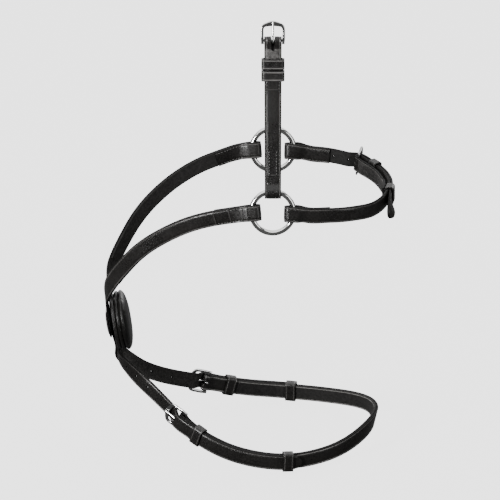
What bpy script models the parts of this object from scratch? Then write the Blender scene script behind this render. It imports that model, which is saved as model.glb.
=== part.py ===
"""Figure-eight noseband for a bridle, in its worn shape.

Two long straps run from the cheek rings over the nose, cross under a round pad
and buckle into a padded chin strap. A jaw strap joins the rings behind, and a
short cheek strap hangs the noseband from the bridle.

Metres, +Z up, nose at -X, near side at -Y. The origin is the middle of the
nose pad's inner face, where it rests on the horse's nose.
"""

import math

import bmesh
import bpy
import numpy as np
from mathutils import Matrix, Vector

MM = 0.001

# Leather
STRAP_WIDTH = 16 * MM
NOSE_LEATHER = 2.4 * MM
NOSE_LINING = 1.4 * MM
JAW_LEATHER = 2.2 * MM
CHIN_LEATHER = 1.8 * MM
CHIN_PADDING = 2 * MM
PADDING_EASE = 0.2 * MM
CHEEK_LEATHER = 2.2 * MM
CHEEK_WIDTH_TOP = 17.4 * MM
CHEEK_WIDTH_FOOT = 16.2 * MM
TIP_LENGTH = 13 * MM
TIP_WIDTH = 4 * MM
HOLE_RADIUS = 1.35 * MM
EDGE_BEVEL = 0.45 * MM

# Clearances
GAP = 0.3 * MM
BILLET_GAP = 0.5 * MM
PAD_GAP = 0.7 * MM
TONGUE_CLEARANCE = 0.6 * MM

# Cheek rings
RING_RADIUS = 20.7 * MM
RING_WIRE = 2.2 * MM
RING_LEAN = math.radians(15)
NEAR_RING = Vector((142.2, -75, 153.2)) * MM
FAR_RING = Vector((142.7, 75, 153.2)) * MM
NOSE_DROP = math.radians(2.2)
JAW_DROP = math.radians(4.8)
LOOP_BORE = 2.9 * MM
LOOP_REACH = 4.2 * MM
LOOP_OPEN = 2.6 * MM
LOOP_TAPER = 10 * MM
LOOP_END = LOOP_OPEN + LOOP_TAPER
CHEEK_BORE = 3.6 * MM
CHEEK_DROP = 0.9 * MM
CHEEK_SHIFT = 0.4 * MM
CHEEK_LENGTH = 153.5 * MM
RETURN_LENGTH = 37 * MM

# Buckles
BAR_HALF = 1.4 * MM
FRAME_HALF = 1.2 * MM
BAR_CHAMFER = 0.5 * MM
BUCKLE_HALF_WIDTH = 10.7 * MM
TOE_REACH = 17 * MM
TOE_HALF = 2.5 * MM
FOLD_BORE = 1.8 * MM
TONGUE_RADIUS = 1.1 * MM
TONGUE_EYE = 2.95 * MM
FRAME_TILT = math.radians(11)
SHOULDER = 3.8 * MM
JAW_FRAME_TILT = math.radians(66)

# Keepers
KEEPER_LEATHER = 1.5 * MM
KEEPER_LENGTH = 10.5 * MM
KEEPER_ROOM = 0.45 * MM

# Nose pad, measured outward from the face that rests on the nose
PAD_TILT = math.radians(10)
CUSHION_RADIUS = 29 * MM
CUSHION_DEPTH = 12.4 * MM
BACKING_RADIUS = 24.5 * MM
PAD_REACH = 27.5 * MM
BACKING_DEPTH = 2 * MM
CAP_RADIUS = 15 * MM
CAP_DEPTH = 3.2 * MM
PAD_OUT = Vector((-math.cos(PAD_TILT), 0, -math.sin(PAD_TILT)))
PAD_UP = Vector((-math.sin(PAD_TILT), 0, math.cos(PAD_TILT)))
CROSSING_HEIGHT = CUSHION_DEPTH + GAP + BACKING_DEPTH + PAD_GAP + NOSE_LEATHER + GAP / 2
CROSSING_ANGLE = math.radians(15)
CROSSING_LIFT = 0.15 * MM

STATION = 8 * MM

# Folds, billets and fittings
FOLD_TAPER = 9 * MM
CHIN_RETURN = 24 * MM
CHEEK_RETURN = 53 * MM
CHEEK_BILLET_ROOM = 2.6 * MM
JAW_RETURN = 66 * MM
JAW_FIXED = 20 * MM
CUSHION_FLAT = 12 * MM
LIFT = math.radians(5)
FAR_CHIN_HEEL = Vector((74.8, 67, -101)) * MM
NEAR_CHIN_HEEL = Vector((50.8, -48.4, -88.5)) * MM
FAR_BILLET_END = 171.3 * MM
NEAR_BILLET_END = 171.3 * MM
NEAR_KEEPERS = (69.1 * MM, 157.8 * MM)
FAR_KEEPERS = (99.3 * MM, 160.8 * MM)
FAR_BILLET_HOLES = (-10.7 * MM, 20.8 * MM, 41.1 * MM)
NEAR_BILLET_HOLES = (-9.6 * MM, -3 * MM, 6 * MM, 17.8 * MM, 32.2 * MM)
JAW_HEEL = Vector((228.3, 58.8, 145.8)) * MM
JAW_LOOSE = Vector((256.9, -10, 143.3)) * MM
JAW_HOLES = ((203.6, 70, 148), (218.3, 64.5, 146.8))
FREE_TIP = 27 * MM
FREE_TIP_TURN = math.radians(75)
FREE_TIP_SIDE = 1.5 * MM
FREE_TIP_FACE = (0.8, -0.58, 0.05)
JAW_KEEPER_ROOM = 1 * MM
JAW_LOOSE_ROOM = 0.6 * MM

# Half of the figure eight: near ring, over the nose, crossing, far side, chin
NOSE_POINTS = (
    (112.3, -74.8, 151.3), (99.3, -73, 148.5), (89.8, -70.6, 145.9), (73.8, -67.0, 140.8),
    (57.8, -62.8, 133.7), (41.8, -57.9, 124.1), (25.8, -51.5, 111.8), (9.8, -43.3, 95.6),
    (-5.7, -31.5, 73), (-17.7, -18.5, 50),
)
CHIN_POINTS = (
    (-9.8, 9, -39.5), (-2.2, 11.5, -49), (9.3, 15.2, -59.5), (21.8, 22.4, -68.8),
    (33.8, 32.5, -77.4), (49.8, 47.3, -88), (65.8, 61, -97), (81.8, 70.5, -103.7),
    (97.8, 76.3, -109.3), (121.8, 81, -114.8), (145.8, 82.6, -117.5), (169.8, 79, -118.2),
    (185.8, 73.5, -117.3), (201.8, 65.3, -115.5), (217.8, 53.2, -112.3), (230.8, 38.5, -108.5),
    (241, 20.5, -105.2),
)
CHIN_MIDDLE = Vector((245, 0, -104)) * MM
CHIN_FACING = (0.97, 0, -0.24)
JAW_POINTS = (
    (170, 74.9, 151), (179, 74, 149.2), (193.8, 71.8, 148.4), (209.8, 68.2, 147.6),
    (225.8, 60.2, 146), (239.3, 49, 144), (249, 34.5, 143.5), (255.3, 17.5, 143.3),
)
JAW_MIDDLE = Vector((257.6, 0, 143.3)) * MM


class Route:
    """A smooth curve through hand-picked points, with the way the strap faces."""

    def __init__(self, points, facings):
        rows = np.hstack([np.array(points, float), np.array(facings, float)])
        chords = np.linalg.norm(np.diff(rows[:, :3], axis=0), axis=1)
        self.knots = np.concatenate([[0], np.cumsum(chords)])
        self.rows = rows
        self.bends = self._second_derivatives()
        grid = np.linspace(0, self.knots[-1], 1500)
        places = np.array([self._value(t)[:3] for t in grid])
        steps = np.linalg.norm(np.diff(places, axis=0), axis=1)
        self.grid = grid
        self.arc = np.concatenate([[0], np.cumsum(steps)])
        self.length = float(self.arc[-1])

    def _second_derivatives(self):
        spans = np.diff(self.knots)
        count = len(self.knots)
        matrix = np.eye(count)
        right = np.zeros_like(self.rows)
        for i in range(1, count - 1):
            before, after = spans[i - 1], spans[i]
            matrix[i, i - 1:i + 2] = (before, 2 * (before + after), after)
            rise = (self.rows[i + 1] - self.rows[i]) / after
            run = (self.rows[i] - self.rows[i - 1]) / before
            right[i] = 6 * (rise - run)
        return np.linalg.solve(matrix, right)

    def _value(self, t):
        i = int(np.clip(np.searchsorted(self.knots, t) - 1, 0, len(self.knots) - 2))
        span = self.knots[i + 1] - self.knots[i]
        a = (self.knots[i + 1] - t) / span
        b = 1 - a
        curve = (a ** 3 - a) * self.bends[i] + (b ** 3 - b) * self.bends[i + 1]
        return a * self.rows[i] + b * self.rows[i + 1] + curve * span ** 2 / 6

    def frame(self, s):
        """Place, along, across and out at arc length s, straight past the ends."""
        inside = min(max(s, 0), self.length)
        t = float(np.interp(inside, self.arc, self.grid))
        reach = 0.5 * MM
        low = max(t - reach, 0)
        high = min(t + reach, self.knots[-1])
        along = Vector(self._value(high)[:3] - self._value(low)[:3]).normalized()
        row = self._value(t)
        place = Vector(row[:3]) + along * (s - inside)
        across = along.cross(Vector(row[3:])).normalized()
        return place, along, across, across.cross(along)

    def nearest(self, target):
        """Arc length of the point on the route that lies nearest to target."""
        places = np.array([self._value(t)[:3] for t in self.grid])
        gaps = np.linalg.norm(places - np.array(target), axis=1)
        return float(self.arc[int(np.argmin(gaps))])


def smooth_step(value, low, high):
    t = min(max((value - low) / (high - low), 0), 1)
    return t * t * (3 - 2 * t)


def clear_scene():
    for item in list(bpy.data.objects):
        bpy.data.objects.remove(item, do_unlink=True)


def new_collection(name):
    made = bpy.data.collections.new(name)
    bpy.context.scene.collection.children.link(made)
    return made


def new_material(name, colour, roughness, metallic):
    made = bpy.data.materials.new(name)
    made.use_nodes = True
    shader = made.node_tree.nodes["Principled BSDF"]
    shader.inputs["Base Color"].default_value = (*colour, 1)
    shader.inputs["Roughness"].default_value = roughness
    shader.inputs["Metallic"].default_value = metallic
    return made


def leather_material(name):
    return new_material(name, (0.012, 0.011, 0.010), 0.38, 0)


def steel_material(name):
    return new_material(name, (0.74, 0.74, 0.73), 0.16, 1)


def finish(name, bm, material, collection, smooth=True):
    """Turn a bmesh into a named object of the noseband."""
    mesh = bpy.data.meshes.new(name)
    bm.normal_update()
    bm.to_mesh(mesh)
    bm.free()
    item = bpy.data.objects.new(name, mesh)
    collection.objects.link(item)
    mesh.materials.append(material)
    if smooth:
        mesh.shade_smooth()
        mesh.set_sharp_from_angle(angle=math.radians(35))
    return item


def add_bevel(item, width):
    bevel = item.modifiers.new("edge", "BEVEL")
    bevel.width = width
    bevel.segments = 1
    bevel.limit_method = "ANGLE"
    bevel.angle_limit = math.radians(40)


def add_cut(item, cutter):
    cut = item.modifiers.new("cut_" + cutter.name, "BOOLEAN")
    cut.operation = "DIFFERENCE"
    cut.solver = "EXACT"
    cut.object = cutter


def fold_points(at, bore, thickness, lean_out, lean_in, taper, way, straight=0):
    """Side view of a strap's end turned round a bar, from the inner leg to the outer.

    way is 1 where the strap leaves the bar towards greater s, and -1 otherwise.
    The legs stay apart for the straight length and close up over the taper.
    """
    turn = bore + thickness / 2
    inner, outer = [], []
    for share in (1, 0.8, 0.6, 0.4, 0.2, 0):
        if share == 0 and straight == 0:
            continue
        reach = at + way * (straight + taper * share)
        blend = smooth_step(share, 0, 1)
        inner.append((reach, -turn + (lean_in + turn) * blend))
        outer.append((reach, turn + (lean_out - turn) * blend))
    arc = []
    for step in range(11):
        angle = -math.pi / 2 + math.pi * step / 10
        arc.append((at - way * turn * math.cos(angle), turn * math.sin(angle)))
    return inner + arc + outer[::-1]


def ring_loop(at, thickness, lean, way):
    """The long loop of a strap round a cheek ring's wire, which passes at s = at."""
    return fold_points(at - way * LOOP_REACH, LOOP_BORE, thickness, lean, -lean,
                       LOOP_TAPER, way, LOOP_REACH + LOOP_OPEN)


def stations(start, end, offset):
    """Points every few millimetres from start to end, at the offset that fits s."""
    count = max(2, round(abs(end - start) / STATION))
    places = [start + (end - start) * i / count for i in range(count + 1)]
    return [(s, offset(s)) for s in places]


def strip(name, route, path, thickness, width, material, collection):
    """A leather strip: an open ribbon along the route, then its thickness."""
    bm = bmesh.new()
    rows = []
    for s, height in path:
        place, _, across, out = route.frame(s)
        centre = place + out * height
        half = across * (width(s) / 2)
        rows.append((bm.verts.new(centre - half), bm.verts.new(centre + half)))
    for (a, b), (c, d) in zip(rows, rows[1:]):
        bm.faces.new((a, b, d, c))
    item = finish(name, bm, material, collection)
    solid = item.modifiers.new("leather", "SOLIDIFY")
    solid.thickness = thickness
    solid.offset = 0
    solid.use_even_offset = True
    add_bevel(item, EDGE_BEVEL)
    return item


def even_width(width):
    return lambda s: width


def pointed_width(width, end, way):
    """Full width up to the tip, which narrows in a rounded point."""

    def at(s):
        left = (end - s) * way
        share = min(max(left / TIP_LENGTH, 0), 1)
        return TIP_WIDTH + (width - TIP_WIDTH) * math.sqrt(1 - (1 - share) ** 2)

    return at


def tip_stations(end, way, offset):
    shares = (0.75, 0.5, 0.3, 0.15, 0.05, 0)
    return [(end - way * TIP_LENGTH * k, offset(end - way * TIP_LENGTH * k)) for k in shares]


def tube_cutter(name, points, radius, collection):
    """A closed tube along points, as a tool for cutting."""
    curve = bpy.data.curves.new(name, "CURVE")
    curve.dimensions = "3D"
    curve.bevel_depth = radius
    curve.bevel_resolution = 1
    curve.use_fill_caps = True
    spline = curve.splines.new("POLY")
    spline.points.add(len(points) - 1)
    for point, place in zip(spline.points, points):
        point.co = (*place, 1)
    return curve_to_mesh(name, curve, collection)


def curve_to_mesh(name, curve, collection):
    """A welded mesh object with a curve's shape. The curve is removed."""
    drawn = bpy.data.objects.new(name + "_line", curve)
    collection.objects.link(drawn)
    depsgraph = bpy.context.evaluated_depsgraph_get()
    mesh = bpy.data.meshes.new_from_object(drawn.evaluated_get(depsgraph))
    mesh.name = name
    bm = bmesh.new()
    bm.from_mesh(mesh)
    bmesh.ops.remove_doubles(bm, verts=bm.verts, dist=0.01 * MM)
    bmesh.ops.recalc_face_normals(bm, faces=bm.faces)
    bm.to_mesh(mesh)
    bm.free()
    made = bpy.data.objects.new(name, mesh)
    collection.objects.link(made)
    bpy.data.objects.remove(drawn, do_unlink=True)
    return made


def as_cutter(item):
    item.hide_render = True
    item.display_type = "WIRE"
    return item


def holes_cutter(name, route, places, height, collection):
    """One tool with a round punch for each billet hole."""
    bm = bmesh.new()
    for s in places:
        place, along, across, out = route.frame(s)
        turn = Matrix((along, -across, out)).transposed().to_4x4()
        where = Matrix.Translation(place + out * height) @ turn
        bmesh.ops.create_cone(
            bm, cap_ends=True, segments=10, radius1=HOLE_RADIUS, radius2=HOLE_RADIUS,
            depth=8 * MM, matrix=where,
        )
    mesh = bpy.data.meshes.new(name)
    bm.to_mesh(mesh)
    bm.free()
    item = bpy.data.objects.new(name, mesh)
    collection.objects.link(item)
    return as_cutter(item)


class Seat:
    """A place on a strap with its own axes: along, across and out."""

    def __init__(self, route, s, height, way, tilt=0):
        place, along, _, out = route.frame(s)
        self.origin = place + out * height
        self.across = out.cross(along * way)
        turn = Matrix.Rotation(-tilt, 3, self.across)
        self.along = turn @ along * way
        self.out = turn @ out

    def point(self, x, y, z):
        return self.origin + self.along * x + self.across * y + self.out * z

    def matrix(self):
        turn = Matrix((self.along, self.across, self.out)).transposed().to_4x4()
        return Matrix.Translation(self.origin) @ turn


def buckle_frame(name, seat, material, collection):
    """A flat D frame: heel bar at the seat, shoulders behind it, arched and widened toe bar."""
    w = BUCKLE_HALF_WIDTH
    half = [
        (0, 0.0, BAR_HALF), (0, 0.45 * w, BAR_HALF), (0, w - 1.5 * MM, BAR_HALF),
        (0.45 * MM, w - 0.45 * MM, BAR_HALF), (1.5 * MM, w, BAR_HALF),
        (7 * MM, w, BAR_HALF), (11.5 * MM, w - 0.1 * MM, BAR_HALF),
        (13.9 * MM, w - 0.9 * MM, 1.5 * MM), (15.2 * MM, w - 2.6 * MM, 1.7 * MM),
        (16 * MM, w - 5 * MM, 2 * MM), (16.7 * MM, w - 8 * MM, 2.35 * MM),
        (TOE_REACH, 0, TOE_HALF),
    ]
    line = half + [(x, -y, r) for x, y, r in half[-2:0:-1]]
    bm = bmesh.new()
    rings = []
    count = len(line)
    for i, (x, y, reach) in enumerate(line):
        ahead, behind = line[(i + 1) % count], line[i - 1]
        step = Vector((ahead[0] - behind[0], ahead[1] - behind[1], 0)).normalized()
        side = Vector((step.y, -step.x, 0))
        section = [
            (reach, FRAME_HALF - BAR_CHAMFER), (reach - BAR_CHAMFER, FRAME_HALF),
            (-reach + BAR_CHAMFER, FRAME_HALF), (-reach, FRAME_HALF - BAR_CHAMFER),
            (-reach, -FRAME_HALF + BAR_CHAMFER), (-reach + BAR_CHAMFER, -FRAME_HALF),
            (reach - BAR_CHAMFER, -FRAME_HALF), (reach, -FRAME_HALF + BAR_CHAMFER),
        ]
        centre = Vector((x, y, 0))
        rings.append([bm.verts.new(centre + side * a + Vector((0, 0, b))) for a, b in section])
    corners = (2, 3, count - 4, count - 3)
    shoulders = []
    for i, (ring, following) in enumerate(zip(rings, rings[1:] + rings[:1])):
        for k in range(8):
            face = bm.faces.new((ring[k], ring[k - 1], following[k - 1], following[k]))
            if i in corners and k in (7, 0, 1):
                shoulders.append(face)
    drawn = bmesh.ops.extrude_face_region(bm, geom=shoulders)
    bmesh.ops.delete(bm, geom=shoulders, context="FACES")
    for vert in drawn["geom"]:
        if isinstance(vert, bmesh.types.BMVert):
            vert.co.x = -SHOULDER
    bmesh.ops.recalc_face_normals(bm, faces=bm.faces)
    item = finish(name, bm, material, collection)
    item.matrix_world = seat.matrix()
    return item


def tongue_line():
    """Side view of a tongue: its eye round the heel bar, then the stem to the toe."""
    line = []
    for step in range(11):
        angle = math.radians(-70 - 20 * step)
        line.append((TONGUE_EYE * math.cos(angle), TONGUE_EYE * math.sin(angle)))
    stem = [(3 * MM, 3.05 * MM), (7 * MM, 3.1 * MM), (11.5 * MM, 3 * MM),
            (15 * MM, 2.75 * MM), (18 * MM, 2.55 * MM), (19.6 * MM, 2.3 * MM)]
    return line + stem


def buckle_tongue(name, seat, material, collection):
    """A bent wire tongue that turns on the heel bar and rests on the toe bar."""
    points = tongue_line()
    curve = bpy.data.curves.new(name, "CURVE")
    curve.dimensions = "3D"
    curve.bevel_depth = TONGUE_RADIUS
    curve.bevel_resolution = 1
    curve.use_fill_caps = True
    curve.twist_mode = "Z_UP"
    spline = curve.splines.new("POLY")
    spline.points.add(len(points) - 1)
    for i, (point, (x, z)) in enumerate(zip(spline.points, points)):
        point.co = (x, 0, z, 1)
        point.radius = 1 if i < len(points) - 1 else 0.75
    item = curve_to_mesh(name, curve, collection)
    item.data.materials.append(material)
    item.data.shade_smooth()
    item.data.set_sharp_from_angle(angle=math.radians(50))
    item.matrix_world = seat.matrix()
    return item


def tongue_clearance(name, seat, lift, collection):
    """The space that a tongue's stem sweeps through a billet as it lifts."""
    turn = Matrix.Rotation(-lift, 3, "Y")
    stem = tongue_line()[10:]
    rest = [Vector((x, 0, z)) for x, z in stem]
    lifted = [turn @ p for p in rest]
    places = [seat.matrix() @ ((a + b) / 2) for a, b in zip(rest, lifted)]
    return as_cutter(tube_cutter(name, places, TONGUE_RADIUS + TONGUE_CLEARANCE, collection))


def slot_cutter(name, seat, collection, back=7.5 * MM, front=5 * MM):
    """The slot in a strap's fold that lets the tongue through."""
    bm = bmesh.new()
    bmesh.ops.create_cube(bm, size=1)
    half = TONGUE_RADIUS + TONGUE_CLEARANCE
    size = Matrix.Diagonal((back + front, 2 * half, 14 * MM, 1))
    shift = Matrix.Translation(((front - back) / 2, 0, 0))
    bmesh.ops.transform(bm, matrix=shift @ size, verts=bm.verts)
    upright = [e for e in bm.edges if abs((e.verts[0].co - e.verts[1].co).z) > MM]
    rear = [e for e in upright if e.verts[0].co.x < 0]
    bmesh.ops.bevel(bm, geom=rear, offset=half * 0.95, segments=3, profile=0.5,
                    affect="EDGES")
    mesh = bpy.data.meshes.new(name)
    bm.to_mesh(mesh)
    bm.free()
    item = bpy.data.objects.new(name, mesh)
    collection.objects.link(item)
    item.matrix_world = seat.matrix()
    return as_cutter(item)


def keeper(name, seat, half_width, low, high, material, collection, room=KEEPER_ROOM):
    """A leather band round the straps, from low to high across their thickness."""
    radius = 1.6 * MM
    y, z0, z1 = half_width + KEEPER_ROOM, low - room, high + room
    corners = ((y, z1, 0), (-y, z1, 90), (-y, z0, 180), (y, z0, 270))
    outline = []
    for cy, cz, start in corners:
        inward_y = cy - math.copysign(radius, cy)
        inward_z = cz - radius if cz == z1 else cz + radius
        for step in range(4):
            angle = math.radians(start + 30 * step)
            outline.append((inward_y + radius * math.cos(angle),
                            inward_z + radius * math.sin(angle)))
    bm = bmesh.new()
    ends = []
    for x in (-KEEPER_LENGTH / 2, KEEPER_LENGTH / 2):
        ends.append([bm.verts.new((x, b, c)) for b, c in outline])
    count = len(outline)
    for k in range(count):
        bm.faces.new((ends[0][k], ends[1][k], ends[1][k - 1], ends[0][k - 1]))
    item = finish(name, bm, material, collection)
    item.matrix_world = seat.matrix()
    solid = item.modifiers.new("leather", "SOLIDIFY")
    solid.thickness = KEEPER_LEATHER
    solid.offset = 1
    solid.use_even_offset = True
    add_bevel(item, 0.4 * MM)
    return item


def turned(name, profile, matrix, steps, material, collection):
    """A round piece: its half profile turned about its own +Z axis."""
    bm = bmesh.new()
    verts = [bm.verts.new((r, 0, z)) for r, z in profile]
    for a, b in zip(verts, verts[1:]):
        bm.edges.new((a, b))
    item = finish(name, bm, material, collection)
    item.matrix_world = matrix
    screw = item.modifiers.new("turn", "SCREW")
    screw.steps = steps
    screw.render_steps = steps
    screw.use_merge_vertices = True
    screw.merge_threshold = 0.01 * MM
    screw.use_smooth_shade = True
    return item


def ring(name, centre, material, collection):
    bpy.ops.mesh.primitive_torus_add(
        major_segments=40, minor_segments=10,
        major_radius=RING_RADIUS, minor_radius=RING_WIRE,
    )
    item = bpy.context.active_object
    item.name = name
    item.data.name = name
    for owner in list(item.users_collection):
        owner.objects.unlink(item)
    collection.objects.link(item)
    item.matrix_world = Matrix.Translation(centre) @ Matrix.Rotation(
        math.pi / 2 - RING_LEAN, 4, "X")
    item.data.materials.append(material)
    item.data.shade_smooth()
    return item


def flat_normal(before, after):
    """The outward level normal of a strap that runs from before to after."""
    run = Vector(after) - Vector(before)
    return Vector((-run.y, run.x, 0)).normalized()


def route_through(points, fixed):
    """A route through points, facing outward, or as fixed says at a point's index."""
    facings = []
    for i, point in enumerate(points):
        level = flat_normal(points[max(i - 1, 0)], points[min(i + 1, len(points) - 1)])
        facings.append(Vector(fixed.get(i, level)).normalized())
    return Route(points, facings)


def mirrored(points):
    return [Vector((p.x, -p.y, p.z)) for p in points]


def ring_seat(centre, side, drop):
    """A place on a ring's wire, a little below its middle at the front or the back."""
    up = Vector((0, math.sin(RING_LEAN), math.cos(RING_LEAN)))
    reach = Vector((side * math.cos(drop), 0, 0)) - up * math.sin(drop)
    return centre + reach * RING_RADIUS


def metres(points):
    return [Vector(p) * MM for p in points]


def crossing_points():
    centre = PAD_OUT * CROSSING_HEIGHT
    along = PAD_UP * math.cos(CROSSING_ANGLE) - Vector((0, math.sin(CROSSING_ANGLE), 0))
    return [centre + along * PAD_REACH * k for k in (1, 0.5, 0, -0.5, -1)]


def eight_route():
    """Near ring, nose, crossing, far side, chin, near side, crossing, far ring."""
    start = ring_seat(NEAR_RING, -1, NOSE_DROP)
    end = ring_seat(FAR_RING, -1, NOSE_DROP)
    nose = metres(NOSE_POINTS)
    pad = crossing_points()
    chin = metres(CHIN_POINTS)
    points = [start] + nose + pad + chin + [CHIN_MIDDLE]
    points += mirrored(chin)[::-1] + mirrored(pad)[::-1] + mirrored(nose)[::-1] + [end]
    lean = Vector((0, -math.cos(RING_LEAN), math.sin(RING_LEAN)))
    last = len(points) - 1
    pad_at = len(nose) + 1
    fixed = {0: lean, 1: lean, last: -lean, last - 1: -lean}
    fixed[pad_at - 1] = (-0.8, -0.55, -0.1)
    fixed[last - pad_at + 1] = (-0.8, 0.55, -0.1)
    for i in range(len(pad)):
        fixed[pad_at + i] = PAD_OUT
        fixed[last - pad_at - i] = PAD_OUT
    for i, (x, y, z) in enumerate(((-0.85, 0.5, -0.15), (-0.68, 0.72, -0.08), (-0.55, 0.83, 0))):
        fixed[pad_at + len(pad) + i] = (x, y, z)
        fixed[last - pad_at - len(pad) - i] = (x, -y, z)
    middle = last // 2
    fixed[middle] = CHIN_FACING
    for i, side in ((middle - 1, 1), (middle + 1, -1)):
        fixed[i] = (0.93, 0.36 * side, -0.11)
    return route_through(points, fixed)


def jaw_route():
    """Far ring, round the jaw, near ring."""
    start = ring_seat(FAR_RING, 1, JAW_DROP)
    end = ring_seat(NEAR_RING, 1, JAW_DROP)
    half = metres(JAW_POINTS)
    points = [start] + half + [JAW_MIDDLE] + mirrored(half)[::-1] + [end]
    lean = Vector((0, math.cos(RING_LEAN), -math.sin(RING_LEAN)))
    return route_through(points, {0: lean, len(points) - 1: -lean})


def cheek_route():
    up = Vector((0, math.sin(RING_LEAN), math.cos(RING_LEAN)))
    face = Vector((0, -math.cos(RING_LEAN), math.sin(RING_LEAN)))
    start = NEAR_RING + up * (RING_RADIUS - CHEEK_DROP) + Vector((CHEEK_SHIFT, 0, 0))
    points = [start + up * CHEEK_LENGTH * k for k in (0, 0.5, 1)]
    return Route(points, [face] * 3)


def heights(*keys):
    """Height over the route that eases from each (s, height) key to the next."""
    keys = sorted(keys)

    def at(s):
        for (s0, h0), (s1, h1) in zip(keys, keys[1:]):
            if s <= s1:
                return h0 + (h1 - h0) * smooth_step(s, s0, s1)
        return keys[-1][1]

    return at


def layer(thickness):
    """Middle height of a layer that lies just outside the strap's middle line."""
    return thickness / 2 + GAP / 2


def top_of(thickness):
    """Outer face of a layer that lies just outside the strap's middle line."""
    return layer(thickness) + thickness / 2


def billet_heights(heel, way, before, thickness, chape, rest):
    """Heights of a billet that goes under the toe bar and over the heel bar.

    way is the direction along the route from the toe bar to the heel bar.
    """
    over_heel = TONGUE_EYE + TONGUE_RADIUS + thickness / 2 + 0.55 * MM
    on_strap = top_of(chape) + BILLET_GAP + thickness / 2
    under_toe = -0.3 * MM
    return [
        (heel - way * 44 * MM, before), (heel - way * 20 * MM, under_toe),
        (heel - way * 13.6 * MM, under_toe), (heel - way * 1 * MM, over_heel),
        (heel + way * 2.5 * MM, over_heel), (heel + way * 17 * MM, on_strap),
        (rest, on_strap),
    ]


def chin_heels(route):
    far = route.nearest(FAR_CHIN_HEEL)
    return far, route.nearest(NEAR_CHIN_HEEL)


def build_nose_straps(route, parts, cutters, leather, lining):
    """The two crossing straps. Each one ends as the billet of a chin buckle."""
    far_heel, near_heel = chin_heels(route)
    crossings = {"near": first_crossing(route), "far": route.length - first_crossing(route)}
    outer = layer(NOSE_LEATHER)
    at_pad = outer + CROSSING_LIFT
    plans = (
        ("near", 0, 1, far_heel, FAR_BILLET_END, at_pad, FAR_BILLET_HOLES),
        ("far", route.length, -1, near_heel, NEAR_BILLET_END, -at_pad, NEAR_BILLET_HOLES),
    )
    for side, start, way, heel, end_x, at_crossing, hole_places in plans:
        crossing = crossings[side]
        lower_side = 1 if side == "near" else -1
        end = place_at_x(route, end_x, lower_side)
        keys = [
            (start + way * LOOP_END, outer), (crossing - way * 62 * MM, outer),
            (crossing - way * 36 * MM, at_crossing), (crossing + way * 46 * MM, at_crossing),
        ]
        keys += billet_heights(heel, way, 0, NOSE_LEATHER, CHIN_LEATHER, end)
        height = heights(*keys)
        loop = ring_loop(start, NOSE_LEATHER, outer, way)
        tail = stations(start + way * RETURN_LENGTH, start + way * (LOOP_END + 4 * MM),
                        lambda s: -outer)
        body = stations(start + way * (LOOP_END + 4 * MM), end - way * (TIP_LENGTH + 4 * MM),
                        height)
        path = tail + loop + body + tip_stations(end, way, height)
        item = strip(f"{side}_nose_strap", route, path, NOSE_LEATHER,
                     pointed_width(STRAP_WIDTH, end, way), leather, parts)
        places = [place_at_x(route, x, lower_side) for x in hole_places]
        add_cut(item, holes_cutter(f"{side}_nose_holes", route, places, 0, cutters))
        seat = Seat(route, heel, 0, -way, FRAME_TILT)
        add_cut(item, tongue_clearance(f"{side}_nose_slot", seat, LIFT, cutters))
        inner = -layer(NOSE_LINING)
        cover = stations(start + way * (RETURN_LENGTH + GAP), crossing - way * 64 * MM,
                         lambda s: inner)
        strip(f"{side}_nose_lining", route, cover, NOSE_LINING,
              even_width(STRAP_WIDTH - 0.6 * MM), lining, parts)


def first_crossing(route):
    """Arc length where the route first passes the middle of the pad."""
    target = PAD_OUT * CROSSING_HEIGHT
    steps = np.arange(0, route.length / 2, 0.5 * MM)
    gaps = [(route.frame(s)[0] - target).length for s in steps]
    return float(steps[int(np.argmin(gaps))])


def place_at_x(route, x, side):
    """Arc length on the lower loop where the route has this x, on the side's half."""
    steps = np.arange(first_crossing(route) + 20 * MM, route.length / 2, 0.5 * MM)
    gaps = [abs(route.frame(s)[0].x - x) for s in steps]
    found = float(steps[int(np.argmin(gaps))])
    return found if side == 1 else route.length - found


def build_chin_strap(route, parts, leather, padding, cutters):
    far_heel, near_heel = chin_heels(route)
    outer = layer(CHIN_LEATHER)
    legs = []
    for heel, way in ((far_heel, 1), (near_heel, -1)):
        turn = fold_points(heel, FOLD_BORE, CHIN_LEATHER, outer, -outer, FOLD_TAPER, way)
        tail = stations(heel + way * CHIN_RETURN, heel + way * (FOLD_TAPER + 3 * MM),
                        lambda s: -outer)
        legs.append(tail + turn)
    body = stations(far_heel + FOLD_TAPER + 4 * MM, near_heel - FOLD_TAPER - 4 * MM,
                    lambda s: outer)
    path = legs[0] + body + legs[1][::-1]
    item = strip("chin_strap", route, path, CHIN_LEATHER, even_width(STRAP_WIDTH), leather, parts)
    for side, heel, way in (("far", far_heel, 1), ("near", near_heel, -1)):
        seat = Seat(route, heel, 0, -way, 0)
        add_cut(item, slot_cutter(f"{side}_chin_slot", seat, cutters))
    inner = -layer(CHIN_PADDING) - PADDING_EASE
    cover = stations(far_heel + CHIN_RETURN + GAP, near_heel - CHIN_RETURN - GAP, lambda s: inner)
    strip("chin_padding", route, cover, CHIN_PADDING, even_width(STRAP_WIDTH - 0.6 * MM),
          padding, parts)


def build_buckle(name, seat, frame_seat, steel, parts):
    buckle_frame(f"{name}_buckle_frame", frame_seat, steel, parts)
    buckle_tongue(f"{name}_buckle_tongue", frame_seat, steel, parts)


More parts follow.
